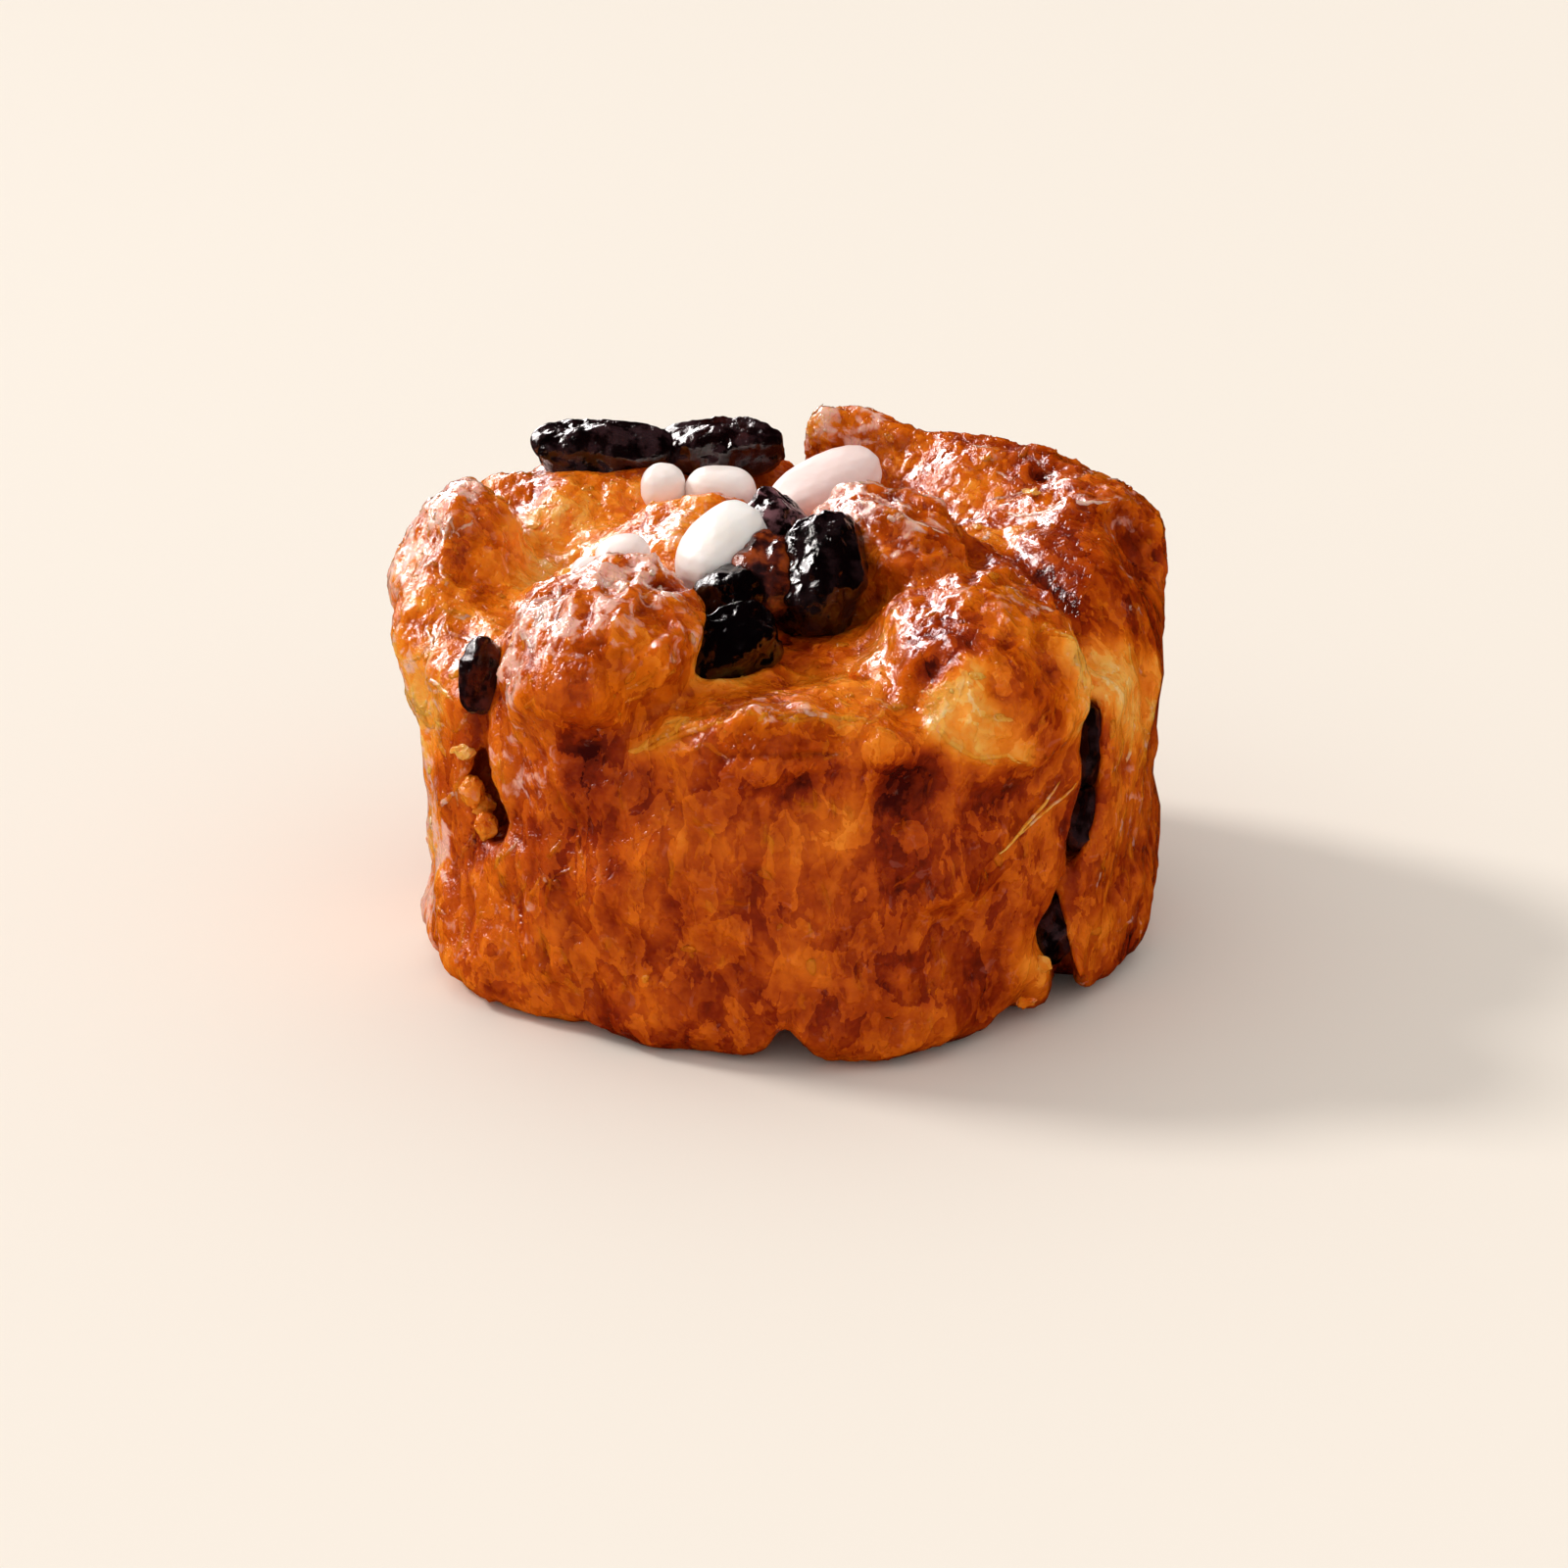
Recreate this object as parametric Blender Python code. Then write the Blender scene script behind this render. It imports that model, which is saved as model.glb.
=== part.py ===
"""Raisin croissant bun: laminated dough packed in a ring mould, risen over its rim, with raisins and nuts.

The bun stands on its flat foot, +Z up, with the origin under the middle of the whole at the foot.
The dough is one solid. Every raisin and every white nut kernel is a solid of its own, bedded in a pocket.
Shape tables are in millimetres, as a baker would measure them, and objects are made in metres.
"""

import math
from collections import namedtuple

import bmesh
import bpy
import numpy as np
from mathutils import Matrix, Vector, noise

MM = 0.001

# The ring mould and the dough in it
MOULD_RADIUS = 46.6
WALL_DRAFT = 0.02
FILL_HEIGHT = 45.0
CROWN_RISE = 4.0
FOOT_ROUND = 5.0
SHOULDER_ROUND = 7.0
SLOT_ROUND = 1.0

# The net that finds the crust: the space it spans, how fine it and its clean remesh are, and what is kept
NET_SPACE = ((-58.0, 58.0), (-56.0, 56.0), (-4.0, 67.0))
NET_STEP = 1.1
REMESH_STEP = 0.85
CRUST_TRIANGLES = 5900

# Unevenness of the baked crust: how far apart its lumps are and how high, worked out this near the crust
LUMPS = ((13.0, 1.7), (6.5, 1.1), (3.6, 0.5))
LUMP_REACH = 5.0

# Free play between the dough and what is bedded in it, and between two fruits pressed together
POCKET_GAP = 0.36

# Detail of a fruit in full view, and the share of its triangles kept where only a part of it shows
FRUIT_DETAIL = 3
HALF_SEEN_SHARE = 0.4

Lobe = namedtuple("Lobe", "centre radii turn tilt softness")
Swell = namedtuple("Swell", "azimuth height amount width rise")
Slot = namedtuple("Slot", "facing floor route")
Seam = namedtuple("Seam", "route lift width")
Fruit = namedtuple("Fruit", "centre size turn pitch roll seed")

# Dough lobes that rose over the mould: centre, half sizes, turn about Z, tilt of the long axis
LOBES = {
    "front_left": Lobe((-23.6, -28.4, 48.3), (13.8, 16.0, 9.2), -8, 25, 2.4),
    "front_left_ridge": Lobe((-20.2, -20.8, 51.8), (8.0, 6.4, 6.6), 10, 14, 2.0),
    "front_right": Lobe((21.5, -26.0, 45.5), (14.0, 18.0, 11.0), 8, 0, 2.4),
    "front_right_brow": Lobe((11.2, -6.5, 51.4), (11.5, 9.5, 8.6), -22, 4, 2.0),
    "front_lip": Lobe((-1.0, -40.6, 42.6), (17.5, 8.4, 5.0), 0, 2, 1.8),
    "right": Lobe((31.0, -2.0, 42.5), (16.2, 20.0, 12.8), 6, 0, 2.0),
    "right_shoulder": Lobe((37.4, 7.6, 48.6), (11.2, 11.5, 9.2), -10, 0, 2.4),
    "right_back": Lobe((30.5, 20.0, 47.6), (16.0, 12.5, 9.4), -35, 0, 2.2),
    "foot_knob": Lobe((32.2, -31.0, 7.4), (4.4, 3.8, 3.6), 0, 0, 1.0),
    "back_peak": Lobe((12.4, 31.5, 50.6), (10.6, 5.5, 8.4), -4, -16, 2.0),
    "peak_tip": Lobe((6.6, 31.2, 56.2), (4.5, 4.0, 4.0), 0, 0, 1.4),
    "back_saddle": Lobe((22.6, 26.6, 49.6), (9.0, 8.0, 6.8), -24, 0, 2.2),
    "back_left": Lobe((-24.0, 25.0, 42.5), (20.0, 15.5, 11.8), 16, 0, 2.6),
    "back_left_knob": Lobe((-33.0, 22.0, 45.5), (9.0, 11.5, 8.4), 30, 0, 2.2),
    "back_middle": Lobe((-9.0, 35.0, 44.6), (13.5, 10.0, 8.2), -12, 0, 2.2),
    "left": Lobe((-41.9, 9.0, 44.6), (8.8, 13.0, 11.8), 10, 8, 2.6),
    "left_bulge": Lobe((-45.8, 5.0, 44.4), (6.8, 9.0, 5.4), 0, 0, 2.0),
    "left_front": Lobe((-43.5, -4.0, 41.5), (8.0, 12.0, 9.0), -6, 0, 3.0),
    "middle": Lobe((-3.0, 12.0, 43.0), (26.0, 18.0, 9.4), 0, 0, 4.0),
    "centre_knob": Lobe((-12.0, 1.0, 47.0), (11.0, 9.5, 7.4), 0, 0, 2.4),
    "nut_bed": Lobe((3.5, 8.0, 48.0), (12.0, 11.0, 6.8), 0, 0, 2.4),
    "nut_rim": Lobe((-12.6, 8.8, 49.0), (11.0, 5.2, 6.6), 0, 0, 1.8),
    "valley_knob": Lobe((-24.5, -8.0, 46.4), (10.0, 7.5, 6.4), 0, 0, 2.4),
}

# Broad swellings and hollows of the wall: azimuth from the front, height, amount, width in degrees and rise
SWELLS = [
    Swell(-60, 8, 1.6, 18, 14),
    Swell(-66, 3, 2.6, 15, 9),
    Swell(-84, 36, 1.8, 24, 14),
    Swell(-30, 26, 0.9, 14, 18),
    Swell(4, 26, 0.8, 18, 12),
    Swell(15, 8, 1.1, 15, 9),
    Swell(19, 37, -3.6, 5, 4),
    Swell(32, 28, 0.9, 14, 12),
    Swell(40, 6, -1.6, 12, 7),
    Swell(64, 30, 0.9, 12, 16),
    Swell(70, 3, 1.2, 20, 8),
    Swell(92, 16, 1.0, 24, 14),
    Swell(128, 20, 1.4, 20, 22),
    Swell(172, 14, 1.2, 20, 20),
    Swell(-140, 22, 1.4, 22, 22),
]

# Gaps between neighbouring pieces of dough. Each is looked into along its facing, turned about Z from the
# front. Its floor is how far back it ends there, and its route gives x, height and half width.
SLOTS = {
    "left_gap": Slot(0, -19.5, [(-38.6, 52, 1.4), (-38.8, 46.5, 1.0), (-38.8, 42, 0.8), (-38.8, 34, 0.8),
                                (-38.4, 28, 2.4), (-37.2, 24.5, 1.8)]),
    "right_gap": Slot(0, -22.5, [(37.6, 41, 0.8), (36.6, 37, 1.3), (37.4, 31.5, 0.9), (36.2, 26, 1.4),
                                 (34.8, 20.5, 0.8), (33.0, 16, 0.8), (32.2, 12, 1.9), (34.2, 7.5, 1.4),
                                 (35.2, -1, 1.2)]),
    "foot_notch": Slot(0, -38.0, [(-0.4, -2, 2.6), (-0.4, 1.6, 1.9), (-0.8, 5.2, 0.9)]),
    "foot_notch_right": Slot(0, -32.0, [(26.6, -2, 1.8), (27.4, 2.6, 0.9)]),
    "foot_step_left": Slot(0, -36.0, [(-30.5, -2.5, 2.6), (-26.8, -2.4, 3.4), (-26.4, 0.4, 1.2)]),
    "right_side_gap": Slot(98, -35.0, [(2, 41, 1.0), (4, 33, 1.6), (1, 24, 1.4), (4, 12, 0.9), (3, -1, 1.4)]),
    "back_gap_right": Slot(152, -36.0, [(-3, 42, 1.2), (0, 36, 1.7), (-3, 26, 1.5), (1, 14, 0.9),
                                        (0, -1, 1.4)]),
    "back_gap_left": Slot(-156, -36.0, [(2, 41, 1.2), (-2, 34, 1.6), (2, 22, 1.2), (-1, 10, 1.0),
                                        (0, -1, 1.4)]),
    "left_side_gap": Slot(-108, -38.0, [(-2, 40, 0.9), (1, 32, 1.4), (-1, 22, 1.0), (2, 8, 0.9)]),
}

# Rolled edges of the laminated dough, lifted over the surface, and the creases beside them, sunk under it
SEAMS = [
    Seam([(24, -8, 55), (29, -17, 51.5), (33, -27, 48), (34.5, -34, 44), (31, -39, 40)], 2.6, 2.2),
    Seam([(27, -4, 54), (33, -14, 51), (38, -24, 46), (39, -30, 41)], -3.4, 1.8),
    Seam([(6, 1, 60), (14, -2, 60), (20, -8, 58), (19, -14, 55.5), (13, -15, 54.5)], 2.6, 2.2),
    Seam([(10, -16, 54), (17, -20, 54.5), (24, -16, 53.5)], -2.6, 2.2),
    Seam([(9, -24, 52), (12, -33, 50), (15, -41, 45)], -1.8, 2.4),
    Seam([(-28, -18, 57), (-20, -16, 59), (-14, -17, 58.5)], 1.4, 2.6),
    Seam([(-9, -28, 52), (-12, -37, 48), (-19, -43, 45)], -1.8, 2.2),
    Seam([(-32, -40, 43), (-22, -46, 43.5), (-12, -47, 44)], -1.6, 2.2),
    Seam([(24, 7, 56), (33, 5, 56), (43, 2, 53), (49, -4, 48)], -2.4, 2.4),
    Seam([(2, 30, 59), (12, 30, 59), (22, 27, 57), (33, 21, 57), (43, 12, 55)], 1.4, 2.6),
    Seam([(26, 16, 58), (34, 12, 58)], -2.0, 3.0),
    Seam([(-35, 20, 52), (-34, 12, 52), (-33, 4, 50)], -2.2, 2.6),
    Seam([(-14, -44, 49), (-4, -45, 48.5), (8, -44, 49)], 1.2, 2.2),
    Seam([(-28, -38, 20), (-26, -40, 10), (-25, -40, 2)], -1.2, 2.0),
    Seam([(10, -48, 20), (18, -46, 18), (26, -41, 20), (32, -36, 24)], -1.0, 2.4),
    Seam([(12, -46, 38), (10, -47, 30), (13, -46, 24)], -1.0, 2.0),
]

# Raisins: centre, length, width and thickness, then turn about Z, pitch, roll, and the seed of its wrinkles
RAISINS = {
    "raisin_tall": Fruit((3.9, -15.0, 53.9), (14.9, 9.2, 8.6), 84, 44, 0, 7),
    "raisin_front": Fruit((-8.4, -28.4, 49.2), (14.2, 8.2, 6.6), 22, 16, 10, 3),
    "raisin_middle": Fruit((-3.2, -14.2, 53.0), (10.4, 8.4, 7.8), 70, 34, 12, 12),
    "raisin_small": Fruit((-2.2, -4.8, 56.2), (8.0, 6.6, 8.2), 20, 50, 0, 15),
    "raisin_under": Fruit((-7.4, -17.8, 51.8), (8.6, 7.0, 6.6), -30, 20, 0, 21),
    "raisin_back_long": Fruit((-25.0, 28.0, 55.3), (18.0, 8.4, 6.2), 3, -4, 0, 30),
    "raisin_back_short": Fruit((-9.2, 28.4, 55.3), (15.4, 8.2, 6.4), -5, 4, 0, 34),
    "raisin_left_gap": Fruit((-38.8, -24.6, 44.4), (7.8, 3.6, 3.2), 90, 82, 0, 41),
    "raisin_right_gap_top": Fruit((37.0, -24.8, 35.0), (10.0, 3.6, 3.4), 40, 84, 0, 44),
    "raisin_right_gap_mid": Fruit((36.0, -25.6, 24.8), (8.2, 4.0, 3.6), 40, 76, 0, 52),
    "raisin_right_gap_low": Fruit((32.4, -27.4, 10.6), (8.6, 5.8, 5.4), 40, 60, 0, 57),
    "raisin_back_gap_a": Fruit((42.6, 5.6, 30.0), (12.0, 6.6, 5.4), 0, 84, 0, 61),
    "raisin_back_gap_b": Fruit((18.6, 38.4, 31.0), (12.5, 6.8, 5.6), -60, 80, 0, 66),
    "raisin_back_gap_c": Fruit((-17.0, 39.2, 28.0), (11.5, 6.8, 5.6), 60, 82, 0, 70),
}

# White nut kernels: same values
NUTS = {
    "nut_big": Fruit((-8.9, -10.6, 55.7), (12.8, 9.0, 8.4), 44, 32, 0, 2),
    "nut_back_wide": Fruit((-9.4, 15.6, 54.0), (8.8, 6.8, 6.0), -4, 0, 0, 5),
    "nut_back_round": Fruit((-16.9, 15.4, 54.6), (5.4, 5.6, 5.6), 0, 0, 0, 8),
    "nut_long": Fruit((4.2, 10.2, 56.5), (16.2, 8.8, 7.0), 34, 16, 0, 11),
    "nut_left": Fruit((-21.4, -9.4, 54.2), (6.4, 5.4, 4.8), 16, 12, 0, 14),
    "nut_left_small": Fruit((-25.6, -11.4, 52.6), (4.2, 4.0, 3.8), 0, 0, 0, 17),
}

# Fruits of which only a part shows
HALF_SEEN = ("gap", "under", "round", "left")

# Fruits pressed against others, and so dented by them
PRESSED = {
    "raisin_front": ["raisin_tall"],
    "raisin_middle": ["raisin_tall", "nut_big", "raisin_front"],
    "raisin_small": ["raisin_tall", "nut_big", "raisin_middle", "nut_long"],
    "raisin_under": ["nut_big", "raisin_front", "raisin_middle", "raisin_tall"],
    "raisin_back_short": ["raisin_back_long"],
    "nut_back_round": ["nut_back_wide"],
    "nut_left_small": ["nut_left"],
    "nut_long": ["nut_back_wide"],
    "raisin_right_gap_mid": ["raisin_right_gap_top"],
}

CRUST_COLOUR = (0.42, 0.12, 0.012)
RAISIN_COLOUR = (0.022, 0.008, 0.007)
NUT_COLOUR = (0.86, 0.72, 0.62)


def clear_scene():
    for item in list(bpy.data.objects):
        bpy.data.objects.remove(item)


def material(name, colour, roughness):
    made = bpy.data.materials.new(name)
    made.use_nodes = True
    shader = made.node_tree.nodes["Principled BSDF"]
    shader.inputs["Base Color"].default_value = (*colour, 1.0)
    shader.inputs["Roughness"].default_value = roughness
    shader.inputs["Metallic"].default_value = 0.0
    return made


def smooth_union(a, b, softness):
    """The nearer of two distances, blended over a strip of this softness."""
    share = np.clip(0.5 + 0.5 * (b - a) / softness, 0.0, 1.0)
    return b * (1 - share) + a * share - softness * share * (1 - share)


def smooth_cut(a, b, softness):
    return -smooth_union(-a, -b, softness)


def route_distance(points, route, widths=None):
    """Distance of every point to a polyline, less the polyline's own half width where it has one."""
    route = np.array(route, float)
    widths = np.zeros(len(route)) if widths is None else np.array(widths)
    nearest = np.full(len(points), np.inf)
    for index, (start, end) in enumerate(zip(route[:-1], route[1:])):
        along = end - start
        share = np.clip((points - start) @ along / (along @ along), 0.0, 1.0)
        half = widths[index] * (1 - share) + widths[index + 1] * share
        gap = np.linalg.norm(points - start - share[:, None] * along, axis=1) - half
        nearest = np.minimum(nearest, gap)
    return nearest


def lobe_distance(points, lobe):
    """Distance to an ellipsoid, turned about Z and tilted along its first axis."""
    turned = Matrix.Rotation(math.radians(lobe.turn), 3, "Z")
    tilted = Matrix.Rotation(math.radians(-lobe.tilt), 3, "Y")
    local = (points - np.array(lobe.centre)) @ np.array(turned @ tilted)
    radii = np.array(lobe.radii)
    near = np.linalg.norm(local / radii, axis=1)
    far = np.linalg.norm(local / radii**2, axis=1)
    return near * (near - 1.0) / np.maximum(far, 1e-6)


def wall_relief(azimuth, height):
    """How far the wall's swellings stand out of the mould's circle."""
    relief = np.zeros(len(azimuth))
    for swell in SWELLS:
        turned = (azimuth - swell.azimuth + 180.0) % 360.0 - 180.0
        reach = (turned / swell.width) ** 2 + ((height - swell.height) / swell.rise) ** 2
        relief += swell.amount * np.exp(-reach)
    return relief


def slot_distance(points, slot):
    """Distance to the space of a slot, open towards its facing."""
    turn = math.radians(slot.facing)
    across = points[:, 0] * math.cos(turn) + points[:, 1] * math.sin(turn)
    back = -points[:, 0] * math.sin(turn) + points[:, 1] * math.cos(turn)
    seen = np.stack([across, points[:, 2]], axis=1)
    route = [(x, height) for x, height, _ in slot.route]
    widths = [half_width for _, _, half_width in slot.route]
    return np.maximum(route_distance(seen, route, widths), back - slot.floor)


def lumps(points):
    """How far the baked crust's unevenness lifts it at each point."""
    lift = np.zeros(len(points))
    for index, place in enumerate(points.tolist()):
        for scale, height in LUMPS:
            lift[index] += height * noise.noise(Vector(place) / scale + Vector((scale, 0, 0)))
    return lift


def dough_distance(points):
    """Signed distance to the risen dough: the moulded drum, the lobes over it, its seams and gaps."""
    x, y, z = points.T
    azimuth = np.degrees(np.arctan2(x, -y))
    radius = MOULD_RADIUS + WALL_DRAFT * z + wall_relief(azimuth, z)
    off_axis = np.hypot(x, y)
    shoulder = FILL_HEIGHT + CROWN_RISE * (1.0 - (off_axis / MOULD_RADIUS) ** 2)
    dough = smooth_cut(off_axis - radius, z - shoulder, SHOULDER_ROUND)
    for lobe in LOBES.values():
        dough = smooth_union(dough, lobe_distance(points, lobe), lobe.softness)
    for seam in SEAMS:
        dough -= seam.lift * np.exp(-((route_distance(points, seam.route) / seam.width) ** 2))
    near = np.abs(dough) < LUMP_REACH
    dough[near] -= lumps(points[near])
    for slot in SLOTS.values():
        dough = smooth_cut(dough, -slot_distance(points, slot), SLOT_ROUND)
    return smooth_cut(dough, -z, FOOT_ROUND)


def net_of_dough():
    """The dough's surface: a point in each cell of a grid that it crosses, a quad round each crossed edge."""
    axes = [np.arange(low, high, NET_STEP) for low, high in NET_SPACE]
    grid = np.stack(np.meshgrid(*axes, indexing="ij"), axis=-1)
    depth = dough_distance(grid.reshape(-1, 3)).reshape(grid.shape[:3])
    sums = np.zeros(grid.shape)
    counts = np.zeros(depth.shape, int)
    rings = []
    for axis in range(3):
        step = np.eye(3, dtype=int)[axis]
        beside, above = np.eye(3, dtype=int)[[(axis + 1) % 3, (axis + 2) % 3]]
        ahead = np.roll(depth, -1, axis)
        low_ends = np.argwhere((depth < 0) != (ahead < 0))
        here = depth[tuple(low_ends.T)]
        there = ahead[tuple(low_ends.T)]
        crossing = grid[tuple(low_ends.T)] + NET_STEP * step * (here / (here - there))[:, None]
        ring = np.stack([low_ends, low_ends - beside, low_ends - beside - above, low_ends - above], axis=1)
        ring[here >= 0] = ring[here >= 0, ::-1]
        for corner in range(4):
            np.add.at(sums, tuple(ring[:, corner].T), crossing)
            np.add.at(counts, tuple(ring[:, corner].T), 1)
        rings.append(ring)
    used = counts > 0
    number = np.cumsum(used.ravel()).reshape(used.shape) - 1
    points = sums[used] / counts[used][:, None]
    quads = np.concatenate([number[tuple(np.moveaxis(ring, -1, 0))] for ring in rings])
    return points, quads


def link(obj, collection=None):
    (collection or bpy.context.scene.collection).objects.link(obj)
    return obj


def keep_share(obj, share):
    """Keeps this share of the object's triangles."""
    thin = obj.modifiers.new("fewer triangles", "DECIMATE")
    thin.ratio = share


def evaluated_mesh(obj):
    graph = bpy.context.evaluated_depsgraph_get()
    return bpy.data.meshes.new_from_object(obj.evaluated_get(graph))


def drop_scraps(mesh):
    """Keeps only the largest connected piece of a mesh, so that no loose crumb or closed hollow stays."""
    bm = bmesh.new()
    bm.from_mesh(mesh)
    left = set(bm.verts)
    pieces = []
    while left:
        piece = set()
        edge_of_piece = [left.pop()]
        while edge_of_piece:
            vertex = edge_of_piece.pop()
            piece.add(vertex)
            beside = {e.other_vert(vertex) for e in vertex.link_edges} & left
            left -= beside
            edge_of_piece += beside
        pieces.append(piece)
    pieces.sort(key=len)
    for scrap in pieces[:-1]:
        bmesh.ops.delete(bm, geom=list(scrap), context="VERTS")
    bm.to_mesh(mesh)
    bm.free()


def make_dough(finish):
    points, quads = net_of_dough()
    net = bpy.data.meshes.new("dough net")
    net.from_pydata((points * MM).tolist(), [], quads.tolist())
    dough = link(bpy.data.objects.new("dough", net))
    clean = dough.modifiers.new("clean net", "REMESH")
    clean.mode = "VOXEL"
    clean.voxel_size = REMESH_STEP * MM
    dough.data = evaluated_mesh(dough)
    dough.modifiers.clear()
    drop_scraps(dough.data)
    dough.data.materials.append(finish)
    keep_share(dough, CRUST_TRIANGLES / (2 * len(dough.data.polygons)))
    return dough


def wrinkled(direction, seed, depth):
    """Radius of a dried fruit in a direction: sharp folds along its length over a few soft dents."""
    x, y, z = direction
    girth = math.atan2(z, y)
    shift = Vector((seed * 1.7, seed * 0.9, -seed * 1.3))
    drift = noise.noise(Vector((x * 1.2, 0.4, 0.2)) + shift)
    folds = abs(math.sin(2.5 * girth + 2.2 * drift + 1.4 * x))
    dents = noise.noise(Vector(direction) * 1.5 + shift)
    return 1.0 + depth * (0.6 * folds - 0.45 + 1.1 * dents)


def bluntness(direction, power):
    """Radius of a superellipsoid in a direction: a power over 2 gives fuller ends."""
    return sum(abs(c) ** power for c in direction) ** (-1.0 / power)


def make_fruit(name, fruit, finish, depth, power):
    """A raisin or a nut kernel: a blunt oval with folds, turned into place."""
    mesh = bpy.data.meshes.new(name)
    half = Vector(fruit.size) / 2
    spin = (
        Matrix.Rotation(math.radians(fruit.turn), 3, "Z")
        @ Matrix.Rotation(math.radians(-fruit.pitch), 3, "Y")
        @ Matrix.Rotation(math.radians(fruit.roll), 3, "X")
    )
    bm = bmesh.new()
    bmesh.ops.create_icosphere(bm, subdivisions=FRUIT_DETAIL, radius=1.0)
    for vertex in bm.verts:
        out = vertex.co.normalized()
        swell = bluntness(out, power) * wrinkled(out, fruit.seed, depth)
        local = Vector((out.x * half.x, out.y * half.y, out.z * half.z)) * swell
        vertex.co = (spin @ local) * MM
    bm.to_mesh(mesh)
    bm.free()
    mesh.materials.append(finish)
    obj = link(bpy.data.objects.new(name, mesh))
    obj.location = Vector(fruit.centre) * MM
    if any(word in name for word in HALF_SEEN):
        keep_share(obj, HALF_SEEN_SHARE)
    return obj


def grown_copy(obj, collection):
    """A hidden copy of a solid, larger by the pocket's gap all round, to cut its pocket with."""
    mesh = evaluated_mesh(obj)
    bm = bmesh.new()
    bm.from_mesh(mesh)
    bm.normal_update()
    moved = [v.co + v.normal * POCKET_GAP * MM for v in bm.verts]
    for vertex, place in zip(bm.verts, moved):
        vertex.co = place
    bm.to_mesh(mesh)
    bm.free()
    cutter = bpy.data.objects.new("cutter_" + obj.name, mesh)
    cutter.location = obj.location
    cutter.hide_render = True
    cutter.display_type = "WIRE"
    return link(cutter, collection)


def cut_pockets(dough, cutters):
    """Cuts every cutter in a collection out of the dough."""
    cut = dough.modifiers.new("pockets", "BOOLEAN")
    cut.operation = "DIFFERENCE"
    cut.operand_type = "COLLECTION"
    cut.collection = cutters
    cut.solver = "EXACT"


def press(fruit, cutter):
    """Dents a fruit where its neighbour presses into it."""
    cut = fruit.modifiers.new("pressed by " + cutter.name, "BOOLEAN")
    cut.operation = "DIFFERENCE"
    cut.object = cutter
    cut.solver = "EXACT"


def centre_on_foot(stand, objects):
    """Moves the stand so that the middle of the whole comes over the origin, with its foot at height nil."""
    graph = bpy.context.evaluated_depsgraph_get()
    corners = []
    for obj in objects:
        solid = obj.evaluated_get(graph)
        mesh = solid.to_mesh()
        corners += [solid.matrix_world @ v.co for v in mesh.vertices]
        solid.to_mesh_clear()
    low = [min(c[axis] for c in corners) for axis in range(3)]
    high = [max(c[axis] for c in corners) for axis in range(3)]
    stand.location = (-(low[0] + high[0]) / 2, -(low[1] + high[1]) / 2, -low[2])


def main():
    clear_scene()
    crust = material("glazed crust", CRUST_COLOUR, 0.35)
    skin = material("raisin skin", RAISIN_COLOUR, 0.3)
    kernel = material("nut kernel", NUT_COLOUR, 0.45)
    stand = link(bpy.data.objects.new("bun", None))
    dough = make_dough(crust)
    fruits = {name: make_fruit(name, fruit, skin, 0.16, 2.7) for name, fruit in RAISINS.items()}
    fruits |= {name: make_fruit(name, fruit, kernel, 0.05, 2.5) for name, fruit in NUTS.items()}
    collection = bpy.data.collections.new("cutters")
    bpy.context.scene.collection.children.link(collection)
    cutters = {name: grown_copy(fruit, collection) for name, fruit in fruits.items()}
    for name, neighbours in PRESSED.items():
        for neighbour in neighbours:
            press(fruits[name], cutters[neighbour])
    cut_pockets(dough, collection)
    for obj in [dough, *fruits.values(), *cutters.values()]:
        obj.parent = stand
    centre_on_foot(stand, [dough, *fruits.values()])


main()
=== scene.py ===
"""Raisin croissant bun, dressed: glazed laminated dough, soaked raisins and white nut kernels on a pale floor.

Tables give places and sizes in millimetres. Meshes are made in metres, +Z up, and the bun's front faces -Y.
"""

import math
from collections import namedtuple

import bmesh
import bpy
import numpy as np
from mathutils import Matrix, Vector, noise
from mathutils.bvhtree import BVHTree


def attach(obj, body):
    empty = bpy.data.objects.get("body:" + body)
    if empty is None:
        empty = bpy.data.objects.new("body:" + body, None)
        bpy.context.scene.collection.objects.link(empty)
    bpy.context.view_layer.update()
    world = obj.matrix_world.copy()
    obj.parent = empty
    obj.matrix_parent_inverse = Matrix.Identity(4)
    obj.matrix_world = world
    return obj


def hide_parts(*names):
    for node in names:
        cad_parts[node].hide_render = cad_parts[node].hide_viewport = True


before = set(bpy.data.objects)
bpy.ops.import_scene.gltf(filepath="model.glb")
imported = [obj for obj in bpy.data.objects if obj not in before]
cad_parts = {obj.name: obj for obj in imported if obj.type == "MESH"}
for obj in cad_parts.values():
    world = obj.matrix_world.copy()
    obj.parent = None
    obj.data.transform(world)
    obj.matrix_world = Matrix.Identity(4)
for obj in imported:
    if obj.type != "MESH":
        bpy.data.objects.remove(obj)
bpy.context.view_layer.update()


# The dough's form. A coil of laminated dough, baked in a ring, with lobes risen over the rim. Its fine mesh
# is made from the solid: joined, remeshed, smoothed, and then raised into folds, ledges, creases and blisters.

MM = 0.001
FINE_STEP_MM = 0.42
SMOOTH_ROUNDS = 26
FOOT_CLEAR_MM = 1.2
FRUIT_REACH_MM = 6.0

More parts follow.
